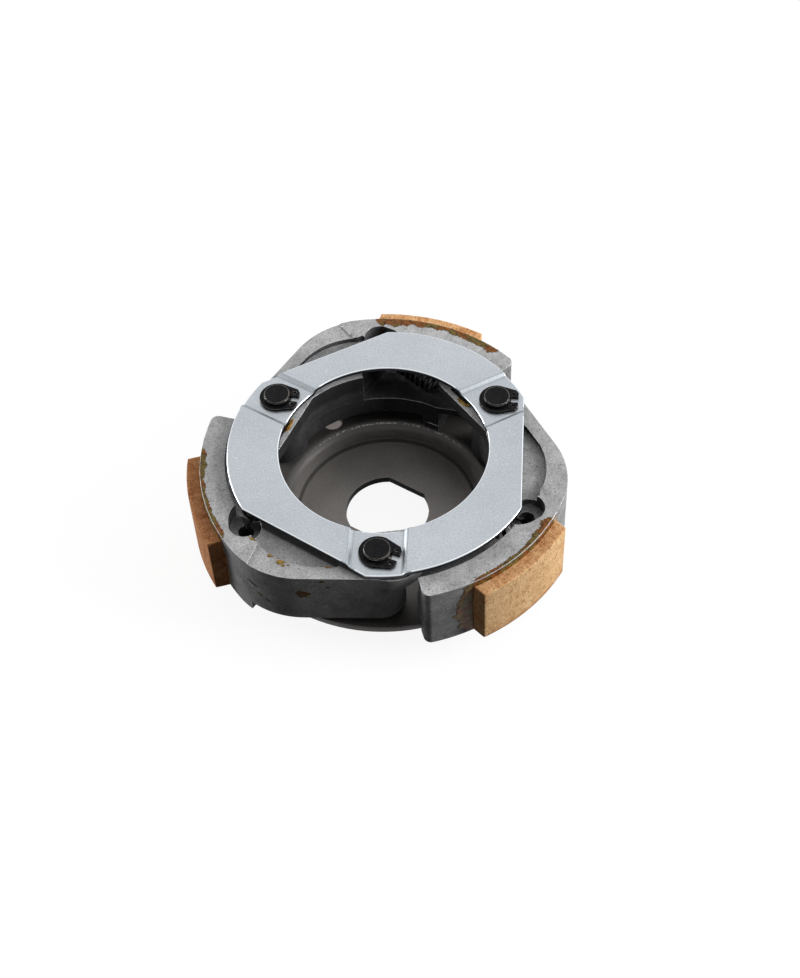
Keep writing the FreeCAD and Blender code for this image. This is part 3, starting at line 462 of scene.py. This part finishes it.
def friction_finish(name, pale, middle, dark):
    """Friction material with dark flecks, rusty patches, a darker rust-coloured band along its foot
    and marks of the saw.
    """
    finish = new_finish(name, metal=0.0, rough=0.72, shine=0.1)
    rust = (0.33, 0.12, 0.04)
    cloud = mottle(finish, 0.22, 5, 0.7)
    colour = tones(finish, cloud, (0.36, middle), (0.58, pale))
    colour = grained(finish, colour, mottle(finish, 1.5, 5, 0.8),
                     (0.32, (0.42, 0.34, 0.26)), (0.47, (0.92, 0.90, 0.88)), (0.68, grey(1.22)))
    colour = grained(finish, colour, mottle(finish, 70.0, 3, 0.7, where=outward(finish)),
                     (0.36, (0.80, 0.70, 0.62)), (0.54, grey(1)), (0.66, (1.06, 1.05, 1.04)),
                     amount=between(finish, facing_up(finish), 0.6, 0.8, 0.0, 1.0))
    rusty = between(finish, mottle(finish, 0.55, 4, 0.7), 0.57, 0.63, 0.0, 0.6)
    # Darker and rust-coloured towards the foot, with a ragged top.
    ragged_height = count(finish, "ADD", place_along(finish, "Z"), product(finish, cloud, 6.0))
    darker_foot = between(finish, ragged_height, LINING_FOOT + 3.4, LINING_FOOT + 6.0, 0.6, 0.0)
    colour = mixed(finish, count(finish, "MAXIMUM", rusty, darker_foot), colour, rust)
    fleck = spots(finish, 1.15, between(finish, mottle(finish, 0.9, 2), 0.35, 0.65, 0.04, 0.24))
    drive(finish, "Base Color", mixed(finish, fleck, colour, dark))
    relief(finish, count(finish, "SUBTRACT", mottle(finish, 1.6, 5, 0.7), fleck), 0.06)
    return finish


ground_face = friction_finish("ground_friction",
                              pale=(0.72, 0.48, 0.26), middle=(0.60, 0.37, 0.18), dark=(0.09, 0.045, 0.02))
pale_skin = friction_finish("pale_friction_skin",
                            pale=(0.80, 0.49, 0.25), middle=(0.60, 0.29, 0.115), dark=(0.10, 0.035, 0.012))
dark_skin = friction_finish("dark_friction_skin",
                            pale=(0.50, 0.245, 0.11), middle=(0.33, 0.13, 0.05), dark=(0.05, 0.02, 0.01))
LINING_FINISHES = {1: (dark_skin, dark_skin), 2: (ground_face, pale_skin), 3: (ground_face, pale_skin)}


def rounded_box_point(point, half, radius):
    """Moves a place on a box's surface on to the same box with rounded edges."""
    inner = Vector(max(-(h - radius), min(h - radius, p)) for p, h in zip(point, half))
    return inner + (point - inner).normalized() * radius


def box_faces(counts):
    """Points of a box from -1 to 1, cut into squares on each side, with the faces between them."""
    points, faces = [], []
    for axis in range(3):
        first, second = [other for other in range(3) if other != axis]
        for end in (-1, 1):
            start = len(points)
            for i in range(counts[first] + 1):
                for j in range(counts[second] + 1):
                    point = [0, 0, 0]
                    point[axis] = end
                    point[first] = 2 * i / counts[first] - 1
                    point[second] = 2 * j / counts[second] - 1
                    points.append(Vector(point))
            row = counts[second] + 1
            for i in range(counts[first]):
                for j in range(counts[second]):
                    corner = start + i * row + j
                    outer = axis == 1 and end == 1
                    faces.append((corner, corner + 1, corner + row + 1, corner + row, 0 if outer else 1))
    return points, faces


def lining_block(station):
    """A block bent to the rim, with edges that are chipped more in some places than in others."""
    half = Vector((LINING_HALF, (LINING_RADIUS - RIM_RADIUS) / 2, LINING_HEIGHT / 2))
    middle = Matrix.Rotation(math.radians(LINING_MIDDLE - 90), 4, "Z")
    points, faces = box_faces(LINING_SQUARES)
    placed = []
    for point in points:
        on_box = Vector(p * h for p, h in zip(point, half))
        chips = 0.5 + 0.5 * noise.noise(on_box * 0.9 + Vector((7 * station, 0, 0)))
        on_box = rounded_box_point(on_box, half, EDGE_ROUND + EDGE_WEAR * chips ** 3)
        across = (LINING_RADIUS + RIM_RADIUS) / 2 + on_box.y
        out = math.sqrt(across ** 2 - on_box.x ** 2)
        height = LINING_FOOT + half.z + on_box.z
        drawn = ARC_CENTRE + middle @ Vector((-on_box.x, out, 0)) + Vector((0, 0, height))
        placed.append(to_station(station) @ drawn)
    block = new_piece("friction_block_%d" % station, placed, faces, LINING_FINISHES[station])
    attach(block, "arm_%d" % station)
    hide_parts("lining_%d" % station)


for station in STATIONS:
    lining_block(station)


# Adhesive. The linings are bonded with a brown glue that is squeezed out over the shoes' rims and
# round the linings' ends, dries with a ragged edge, and has dripped on the front shoe and on the
# other shoes' heels.

CLEAR_ABOVE = 60
CLEAR_OUTSIDE = 80
CLEAR_OF_DROP = 40
UNDER_SURFACE = 0.15
TUCKED_EDGE = -0.04
TUCKED_DROP = -0.03
RIM_EDGE = RIM_RADIUS - 0.12
RIM_FADE = 2.5
LINING_TOP = LINING_FOOT + LINING_HEIGHT
FRONT_WALL = -50
HEEL_DROP = Vector((6.5, -34.2, RIM_TOP))


def dried_glue(name, dark, rust, olive, shine=0.14):
    """Glue that has gone brown. It is rusty in some places and olive in others."""
    finish = new_finish(name, metal=0.0, rough=0.45, shine=shine)
    cloud = mottle(finish, 0.7, 5, 0.7)
    warm = tones(finish, cloud, (0.34, dark), (0.50, rust), (0.66, [1.6 * part for part in rust]))
    cool = tones(finish, cloud, (0.34, dark), (0.50, olive), (0.66, [1.6 * part for part in olive]))
    cooler = between(finish, mottle(finish, 0.22, 3), 0.48, 0.54, 0.0, 1.0)
    drive(finish, "Base Color", mixed(finish, cooler, warm, cool))
    drive(finish, "Roughness", between(finish, mottle(finish, 1.1), 0.35, 0.65, 0.2, 0.5))
    relief(finish, mottle(finish, 1.4, 4), 0.06)
    return finish


def lay_on_shoe(name, station, finish, rows, columns, aim, thickness):
    """A closed skin on a shoe. Both functions take two numbers from 0 to 1, along and across it."""
    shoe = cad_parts["shoe_%d" % station]
    surface = BVHTree.FromObject(shoe, bpy.context.evaluated_depsgraph_get())
    move = to_station(station)
    upper, lower = [], []
    for row in range(rows + 1):
        for column in range(columns + 1):
            along, across = column / columns, row / rows
            start, heading = aim(along, across)
            start, heading = move @ start, (move.to_3x3() @ heading).normalized()
            hit = surface.ray_cast(start, heading)[0]
            if hit is None:
                hit = upper[-1]
            upper.append(hit - heading * thickness(along, across) * MM)
            lower.append(hit + heading * UNDER_SURFACE * MM)
    size = columns + 1
    faces = []
    for row in range(rows):
        for column in range(columns):
            corner = row * size + column
            square = (corner, corner + 1, corner + size + 1, corner + size)
            faces.append((*square, 0))
            faces.append((*[len(upper) + number for number in reversed(square)], 0))
    border = list(range(size))
    border += [row * size + columns for row in range(1, rows + 1)]
    border += [rows * size + column for column in reversed(range(columns))]
    border += [row * size for row in reversed(range(1, rows))]
    for here, there in zip(border, border[1:] + border[:1]):
        faces.append((here, there, len(upper) + there, len(upper) + here, 0))
    piece = new_piece(name, upper + lower, faces, [finish])
    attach(piece, "arm_%d" % station)


def at_outline(along, across):
    """Whether a place on a skin is on its outline, where it is tucked under the shoe's surface."""
    return along in (0, 1) or across in (0, 1)


def ragged(place_along_edge, seed, reach):
    """An uneven width, as a film of glue dries."""
    slow = noise.noise(Vector((place_along_edge * 0.35, seed, 0)))
    fast = noise.fractal(Vector((place_along_edge * 1.6, seed, 5)), 0.6, 2.0, 4)
    return max(0.15, reach * (1 + 0.55 * slow + 0.30 * fast))


def smear_on_rim(station, start, end, near_reach, far_reach):
    """Glue over the top of the rim, from one direction to another about the arc's middle."""
    def width(turn):
        fade = min(1, abs(turn - start) / RIM_FADE, abs(turn - end) / RIM_FADE)
        way = (turn - start) / (end - start)
        reach = (near_reach + (far_reach - near_reach) * way) * (0.55 + 0.45 * abs(2 * way - 1))
        return ragged(turn, 11 * station, reach) * math.sqrt(fade) + 0.05

    def aim(along, across):
        turn = start + (end - start) * along
        over = ARC_CENTRE + bearing(turn) * (RIM_EDGE - width(turn) * across)
        return over + Vector((0, 0, CLEAR_ABOVE)), Vector((0, 0, -1))

    def thickness(along, across):
        lump = 0.5 + 0.5 * noise.noise(Vector((along * 40, across * 3, station)))
        return 0.20 * (1 - across ** 2) * (0.5 + lump) if across < 1 else TUCKED_EDGE

    lay_on_shoe("rim_smear_%d" % station, station, glue, 8, 260, aim, thickness)


def onto_wall(turn, height):
    """Where to start and which way to go, to meet a shoe's outer wall at this turn and height."""
    out = bearing(turn)
    return ARC_CENTRE + out * CLEAR_OUTSIDE + Vector((0, 0, height)), -out


def smear_on_wall(name, station, start, end, low, high, seed, finish):
    """Glue on the outer wall beside a lining's end. Only its far edge is ragged."""
    def aim(along, across):
        height = low + (high - low) * across
        swing = noise.fractal(Vector((height * 0.45, seed, 3)), 0.7, 2, 4)
        belly = 0.55 + 0.45 * math.sin(math.pi * across ** 0.85)
        far = start + (end - start) * max(0.1, (0.85 + 0.28 * swing) * belly)
        return onto_wall(start + (far - start) * along, height)

    def thickness(along, across):
        if at_outline(along, across):
            return TUCKED_EDGE
        return 0.16 * (1 + 0.6 * noise.noise(Vector((along * 4, across * 9, seed))))

    lay_on_shoe(name, station, finish, 90, 14, aim, thickness)


def strip_over_lining(station):
    """Glue on the strip of wall that shows over a lining."""
    half = math.degrees(math.asin(LINING_HALF / LINING_RADIUS))
    low, high = LINING_TOP - 0.4, RIM_TOP - 0.45

    def aim(along, across):
        return onto_wall(LINING_MIDDLE - half + 2 * half * along, low + (high - low) * across)

    def thickness(along, across):
        lump = noise.fractal(Vector((along * 30, station, 0)), 0.6, 2, 3)
        return 0.55 * (1 - across) ** 2 * (1 + 0.5 * lump) + 0.10

    lay_on_shoe("glue_fillet_%d" % station, station, glue, 6, 200, aim, thickness)


def drop_on_shoe(name, station, middle, size, turn, height, seed, finish, down=Vector((0, 0, -1))):
    """A blot on a shoe. Its middle is on shoe 1's drawing, and its size is its length and width."""
    side = Vector((1, 0, 0)) if down.z else Vector((-down.y, down.x, 0))
    up = side.cross(down)
    lean = bearing(turn)

    def aim(along, across):
        round_it = bearing(360 * along)
        edge = 1 + 0.45 * noise.fractal(round_it * 1.3 + Vector((0, 0, seed)), 0.7, 2, 4)
        x = size[0] * round_it.x * across * edge
        y = size[1] * round_it.y * across * edge
        flat = side * (x * lean.x - y * lean.y) + up * (x * lean.y + y * lean.x)
        return middle + flat - down * CLEAR_OF_DROP, down

    def thickness(along, across):
        return height * math.sqrt(max(0, 1 - across ** 2)) if across < 1 else TUCKED_DROP

    lay_on_shoe(name, station, finish, 7, 48, aim, thickness)


glue = dried_glue("brown_glue",
                  dark=(0.030, 0.012, 0.004), rust=(0.17, 0.060, 0.013), olive=(0.12, 0.085, 0.022))
amber = dried_glue("amber_glue",
                   dark=(0.10, 0.045, 0.006), rust=(0.24, 0.12, 0.016), olive=(0.26, 0.16, 0.03))
pale_glue = dried_glue("pale_glue",
                       dark=(0.07, 0.04, 0.02), rust=(0.22, 0.15, 0.09), olive=(0.24, 0.20, 0.13))
olive_glue = dried_glue("olive_glue", shine=0.03,
                        dark=(0.008, 0.005, 0.002), rust=(0.062, 0.030, 0.007), olive=(0.075, 0.048, 0.010))

# Each rim's glue is given by its station, the turns it starts and ends at, and its width at each.
glued_rims = ((1, 177.5, 214.0, 2.3, 1.7), (2, 179.0, 212.5, 1.0, 3.0), (3, 170.5, 214.0, 3.2, 3.7))
for station, start, end, near_reach, far_reach in glued_rims:
    smear_on_rim(station, start, end, near_reach, far_reach)
    strip_over_lining(station)
smear_on_wall("end_smear_2", 2, start=180.6, end=171.6, low=8.6, high=33.7, seed=4, finish=glue)
smear_on_wall("end_smear_1", 1, start=211.8, end=215.5, low=8.0, high=33.0, seed=9, finish=glue)
smear_on_wall("pin_side_smear_2", 2, start=211.8, end=217.0, low=18.0, high=33.7, seed=13, finish=pale_glue)

# Each drop is given by its middle, its length and width, and its turn.
top_drops = (
    ((-34.1, -42.7), (1.3, 0.8), 10), ((-32.5, -42.5), (0.9, 0.4), 5), ((-31.0, -45.3), (1.6, 0.9), 20),
    ((-29.0, -45.1), (1.5, 0.4), 0), ((-29.9, -46.6), (0.55, 0.5), 0), ((-28.3, -46.5), (0.3, 0.3), 0),
    ((-15.6, -47.1), (1.1, 0.5), 0), ((-40.3, -36.6), (1.6, 0.5), -30),
)
for number, ((x, y), size, turn) in enumerate(top_drops):
    drop_on_shoe("top_drop_%d" % number, 1, Vector((x, y, RIM_TOP)), size, turn, 0.25, 20 + number, amber)
wall_drops = (
    ((-23.8, 25.0), (2.6, 1.9), -10), ((-40.5, 24.0), (2.0, 0.5), -25), ((-38.6, 19.8), (1.0, 0.6), -30),
    ((-35.9, 18.2), (1.1, 0.5), -40), ((-17.4, 32.0), (0.9, 0.5), 20), ((-15.6, 29.0), (0.6, 0.5), 0),
)
for number, ((x, z), size, turn) in enumerate(wall_drops):
    drop_on_shoe("wall_drop_%d" % number, 1, Vector((x, FRONT_WALL, z)), size, turn, 0.15, 31 + number,
                 olive_glue, down=Vector((0, 1, 0)))
for station in (2, 3):
    drop_on_shoe("heel_drop_%d" % station, station, HEEL_DROP, (2.6, 1.5), 15, 0.3, 40 + station, amber)


# Marks of the mould. Each shoe keeps the round print of an ejector pin on its arm and the line
# where the halves of the mould met on its inner wall.

EJECTOR_PRINT = Vector((-40.6, -39.0, RIM_TOP))
MOULD_LINE_HEIGHT = 22.2
MOULD_LINE_WIDTH = 0.36
MOULD_LINE_START = 202
MOULD_LINE_SPREAD = 60


def mould_line(station):
    """A low, uneven ridge along the inner wall."""
    def aim(along, across):
        wander = 0.06 * noise.noise(Vector((along * 60, station, 2)))
        height = MOULD_LINE_HEIGHT + wander + MOULD_LINE_WIDTH * (across - 0.5)
        return Vector((0, 0, height)), bearing(MOULD_LINE_START + MOULD_LINE_SPREAD * along)

    def thickness(along, across):
        if at_outline(along, across):
            return TUCKED_EDGE
        return 0.10 + 0.10 * noise.noise(Vector((along * 45, station, 8)))

    lay_on_shoe("mould_line_%d" % station, station, casting, 4, 160, aim, thickness)


for station in STATIONS:
    drop_on_shoe("ejector_print_%d" % station, station, EJECTOR_PRINT, (1.6, 1.6), 0, 0.16,
                 50.5 + station, casting)
for station in STATIONS:
    mould_line(station)


# Return springs. Each is wound from 1.3 mm spring wire, dark from its heat treatment, and hooks
# into the hole in one shoe and into the heel of the next. It is drawn in two halves that meet in
# its middle turn.

WIRE_RADIUS = 0.65
WIRE_SIDES = 12
COIL_RADIUS = 3.35
COIL_TURNS = 8.1
COIL_STEPS = 10
SPRING_AXIS = 28.4
HEEL_TOP = 33.6
HEEL_EYE = (17.5, 10.0 - PIN_CIRCLE, 0)
HOOK_HOLE = (-44.0, -30.2, 0)
HOOK_RISE = 0.9
HEEL_HOOK_SET = 0.15
HOLE_HOOK_SET = 1.55
COIL_START = 4.5
HOOKS_LENGTH = 12.5
NEXT_STATION = {1: 3, 2: 1, 3: 2}


def tempered_wire():
    finish = new_finish("tempered_wire", metal=1.0, rough=0.36, shine=0.5)
    colour = tones(finish, mottle(finish, 0.5), (0.3, grey(0.010)), (0.7, (0.035, 0.033, 0.032)))
    drive(finish, "Base Color", colour)
    relief(finish, mottle(finish, 3.0), 0.01)
    return finish


def rounded_path(points, steps=6):
    """A smooth line through the points."""
    path = []
    padded = [points[0] * 2 - points[1]] + points + [points[-1] * 2 - points[-2]]
    for before, start, end, after in zip(padded, padded[1:], padded[2:], padded[3:]):
        for step in range(steps):
            t = step / steps
            path.append(0.5 * (2 * start + (end - before) * t
                               + (2 * before - 5 * start + 4 * end - after) * t ** 2
                               + (3 * start - before - 3 * end + after) * t ** 3))
    return path + [points[-1]]


def spring_path(station):
    """The middle of the wire in millimetres, from the next heel's hook to this shoe's hook."""
    heel = to_station(NEXT_STATION[station]) @ Vector(HEEL_EYE) / MM
    eye = to_station(station) @ Vector(HOOK_HOLE) / MM
    heel.z = eye.z = SPRING_AXIS
    reach = eye - heel
    along = reach.normalized()
    across = Vector((-along.y, along.x, 0))
    up = Vector((0, 0, 1))
    heel += along * HEEL_HOOK_SET
    eye += up * HOOK_RISE - along * HOLE_HOOK_SET
    pitch = (reach.length - HOOKS_LENGTH) / COIL_TURNS
    start = heel + along * COIL_START
    coil = []
    for step in range(int(COIL_TURNS * COIL_STEPS) + 1):
        turns = step / COIL_STEPS
        round_axis = across * math.cos(2 * math.pi * turns) + up * math.sin(2 * math.pi * turns)
        coil.append(start + along * (pitch * turns) + round_axis * COIL_RADIUS)
    heel_hook = [
        Vector((heel.x, heel.y, HEEL_TOP + 0.2)),
        Vector((heel.x, heel.y, HEEL_TOP - 2.5)),
        Vector((heel.x, heel.y, SPRING_AXIS)),
        heel + along * 1.6 - up * 1.2,
    ]
    eye_hook = [
        eye - along * 1.5 + up * 0.2,
        eye - along * 0.2,
        eye - up * 1.2,
        eye - up * 5.5,
    ]
    return rounded_path(heel_hook + coil + eye_hook)


def wire_piece(name, path, finish):
    """A length of round wire along the points of its middle."""
    normal = Vector((1, 0, 0))
    points, faces = [], []
    for index, centre in enumerate(path):
        heading = (path[min(index + 1, len(path) - 1)] - path[max(index - 1, 0)]).normalized()
        normal = (normal - heading * normal.dot(heading)).normalized()
        side = heading.cross(normal)
        for corner in range(WIRE_SIDES):
            round_wire = bearing(360 * corner / WIRE_SIDES)
            points.append((centre + (normal * round_wire.x + side * round_wire.y) * WIRE_RADIUS) * MM)
        if index:
            start = len(points) - 2 * WIRE_SIDES
            for corner in range(WIRE_SIDES):
                following = (corner + 1) % WIRE_SIDES
                faces.append((start + corner, start + following, start + WIRE_SIDES + following,
                              start + WIRE_SIDES + corner, 0))
    faces.append((*range(WIRE_SIDES), 0))
    faces.append((*range(len(points) - WIRE_SIDES, len(points)), 0))
    return new_piece(name, points, faces, [finish])


def return_spring(station, finish):
    """One spring in two halves that meet in its middle turn."""
    path = spring_path(station)
    middle = len(path) // 2
    halves = (("heel", path[:middle + 1], "arm_%d" % NEXT_STATION[station], "carrier", 0.12, 0.44),
              ("hook", path[middle:], "carrier", "arm_%d" % station, 0.56, 0.88))
    for end, points, before, after, leave, arrive in halves:
        half = wire_piece("coil_spring_%d_%s" % (station, end), points, finish)
        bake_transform(half)
        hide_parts("return_spring_%d" % station)


wire = tempered_wire()
for station in STATIONS:
    return_spring(station, wire)


# Side plate. It is stamped from 1.6 mm sheet, joggled down to a pad at each pin and plated with
# bright zinc that has gone satin. It lies on the pins' shoulders under the snap rings.

PAD_BEND = 9.0
PAD_MIDDLE = 42.2


def plated_sheet():
    """Satin zinc with fine grain and three ways of light scratches. Its cut edge and every face that
    does not face up are painted near black as painted shade.
    """
    finish = new_finish("zinc_plated_sheet", metal=1.0, rough=0.42, shine=0.5)
    satin_dark, satin_light = (0.300, 0.322, 0.342), (0.345, 0.368, 0.390)
    scratch, cut = (0.66, 0.69, 0.71), (0.035, 0.036, 0.040)
    colour = tones(finish, mottle(finish, 0.03, 4), (0.3, satin_dark), (0.7, satin_light))
    colour = grained(finish, colour, mottle(finish, 1.7, 3, 0.75), (0.32, grey(0.80)), (0.68, grey(1.12)))
    for turn, squeeze, per_mm in ((35, 0.35, 0.10), (-50, 0.5, 0.13), (80, 0.4, 0.08)):
        line = mottle(finish, 1.0, 1, where=place(finish, (squeeze, 4.5, 1), turn))
        deep = between(finish, line, 0.70, 0.76, 0.0, 1.0)
        rare = between(finish, mottle(finish, per_mm, 2), 0.60, 0.66, 0.0, 0.8)
        colour = mixed(finish, product(finish, deep, rare), colour, scratch)
    # Painted shade: faces that do not face up, the cut edge among them, are painted near black.
    colour = mixed(finish, between(finish, facing_up(finish), 0.2, 0.45, 1.0, 0.0), colour, cut)
    drive(finish, "Base Color", colour)
    drive(finish, "Roughness", between(finish, mottle(finish, 0.3, 5), 0.3, 0.7, 0.36, 0.50))
    relief(finish, mottle(finish, 1.1, 3, 0.7), 0.012)
    return finish


def zinc_edge_painted_light():
    """The plate's rounded outline. Its upper half is painted brighter than the plating as a painted
    highlight, except at the bends by its three pads, which keep a dull tone; its lower half is
    painted near black as painted shade.
    """
    finish = new_finish("zinc_edge_with_painted_light", metal=1.0, rough=0.30, shine=0.5)
    edge_highlight_tone, bent, cut = (0.60, 0.63, 0.66), (0.26, 0.28, 0.30), (0.03, 0.03, 0.034)
    at_bend = 0.0
    for station in STATIONS:
        out = bearing(pin_turn(station))
        along = measure(finish, "DOT_PRODUCT", place(finish), out)
        aside = measure(finish, "DOT_PRODUCT", place(finish), out.cross(Vector((0, 0, 1))))
        on_bend = count(finish, "COMPARE", count(finish, "ABSOLUTE", aside), PAD_BEND, 2.1)
        at_pad = count(finish, "COMPARE", along, PAD_MIDDLE, 9.0)
        at_bend = count(finish, "MAXIMUM", at_bend, product(finish, on_bend, at_pad))
    # Painted highlight on the upper half of the outline; the bends keep a dull tone.
    colour = mixed(finish, at_bend, edge_highlight_tone, bent)
    # Painted shade: the lower half of the rounded outline is painted near black.
    under = between(finish, facing_up(finish, "Normal"), 0.0, 0.35, 1.0, 0.0)
    drive(finish, "Base Color", mixed(finish, under, colour, cut))
    drive(finish, "Roughness", between(finish, at_bend, 0.0, 1.0, 0.30, 0.55))
    return finish


# The side plate's rounded outline takes a finish of painted highlight and painted shade.
dress("side_plate", plated_sheet(), 0.38, steps=4, rubbed=zinc_edge_painted_light())


# Stand and light. The clutch lies on a white ground. A round spot of it is painted in shade, where it
# shows through the flange's back hole, and that spot reaches past the flange. Soft boxes hang over the
# clutch and at its right and left. The ground and the boxes are placed in metres.

SHADED_SPOT = (-21, 42, 0)
SHADED_SPOT_RADIUS = 7.0
SHADED_SPOT_FADE = 3.0
GROUND_HALF = 4
GROUND_SINK = 0.0001


def seen_white(finish):
    """1 for what the camera sees by itself, in reflections and through glass, and 0 for light."""
    rays = put(finish, "LightPath").outputs
    seen = count(finish, "MAXIMUM", rays["Is Camera Ray"], rays["Is Glossy Ray"])
    return count(finish, "MAXIMUM", seen, rays["Is Transmission Ray"])


def white_ground():
    """Ground that looks white, takes the clutch's shadow and throws little light back. A round spot
    of its white glow is painted dark as painted shade.
    """
    finish = bpy.data.materials.new("white_ground")
    finish.use_nodes = True
    nodes = finish.node_tree.nodes
    nodes.remove(nodes["Principled BSDF"])
    plain = put(finish, "BsdfDiffuse", {"Color": (*grey(0.05), 1)})
    shadow = put(finish, "BsdfDiffuse", {"Color": (*grey(0.15), 1)})
    # Painted shade: round the spot behind the flange's back hole the glow is dark brown-grey, not white.
    away = measure(finish, "DISTANCE", place(finish), SHADED_SPOT)
    spot_shade = between(finish, away, SHADED_SPOT_RADIUS, SHADED_SPOT_RADIUS + SHADED_SPOT_FADE, 1.0, 0.0)
    glow = put(finish, "Emission", {"Color": mixed(finish, spot_shade, grey(0.90), (0.12, 0.10, 0.092)),
                                    "Strength": 1.0})
    white = put(finish, "AddShader", {0: shadow.outputs[0], 1: glow.outputs[0]})
    both = put(finish, "MixShader", {0: seen_white(finish), 1: plain.outputs[0], 2: white.outputs[0]})
    finish.node_tree.links.new(both.outputs[0], nodes["Material Output"].inputs["Surface"])
    return finish


ground_mesh = bpy.data.meshes.new("ground")
corners = [(x * GROUND_HALF, y * GROUND_HALF, -GROUND_SINK) for x, y in ((-1, -1), (1, -1), (1, 1), (-1, 1))]
ground_mesh.from_pydata(corners, [], [(0, 1, 2, 3)])
ground_mesh.materials.append(white_ground())
floor = new_object("ground", ground_mesh)

world = bpy.data.worlds.new("studio")
world.use_nodes = True
bpy.context.scene.world = world
background = world.node_tree.nodes["Background"]
background.inputs["Color"].default_value = (1, 1, 1, 1)
level = between(world, seen_white(world), 0.0, 1.0, 0.035, 1.0)
world.node_tree.links.new(level, background.inputs["Strength"])


def soft_box(name, where, size, power):
    """A lamp with a broad face, turned to the clutch. It is placed in metres."""
    lamp = bpy.data.lights.new(name, "AREA")
    lamp.shape = "RECTANGLE"
    lamp.size, lamp.size_y = size
    lamp.energy = power
    box = new_object(name, lamp)
    box.location = where
    box.rotation_euler = (-Vector(where)).to_track_quat("-Z", "Y").to_euler()


# Nothing lights the clutch from the front.
soft_box("soft_box_above", where=(0.48, 0.75, 1.00), size=(3.6, 2.4), power=20.0)
soft_box("soft_box_right", where=(0.95, -0.02, 0.36), size=(0.6, 0.6), power=13.0)
soft_box("soft_box_left", where=(-0.95, 0.30, 0.26), size=(0.5, 0.5), power=9.5)


# Camera. It looks down on the clutch from the front, as the photo does, from 57 cm away. The clutch
# stands a little off the middle of the picture and a little turned.

CAMERA_LIFT = math.radians(51.56)
CAMERA_ROLL = -0.0523
CAMERA_TURN = math.radians(4.75)
CAMERA_REACH = 570.3
CAMERA_ASIDE = 4.72
CAMERA_DOWN = 14.53
SIDE_PLATE_TOP = 37.1
FILM_WIDTH = 36
LENS_LENGTH = 63.24
NEAREST_SEEN = 0.01

ahead = Vector((0, math.cos(CAMERA_LIFT), -math.sin(CAMERA_LIFT)))
right = Vector((1, 0, 0))
above = Vector((0, math.sin(CAMERA_LIFT), math.cos(CAMERA_LIFT)))
spot = right * CAMERA_ASIDE - above * CAMERA_DOWN - ahead * CAMERA_REACH
across = right * math.cos(CAMERA_ROLL) + above * math.sin(CAMERA_ROLL)
upright = above * math.cos(CAMERA_ROLL) - right * math.sin(CAMERA_ROLL)
aimed = Matrix((across, upright, -ahead)).transposed().to_4x4()
lens = bpy.data.cameras.new("camera")
lens.sensor_width = FILM_WIDTH
lens.lens = LENS_LENGTH
lens.clip_start = NEAREST_SEEN
camera = new_object("camera", lens)
camera.matrix_world = Matrix.Rotation(CAMERA_TURN, 4, "Z") @ Matrix.Translation(spot * MM) @ aimed
camera.location.z += SIDE_PLATE_TOP * MM
bpy.context.scene.camera = camera
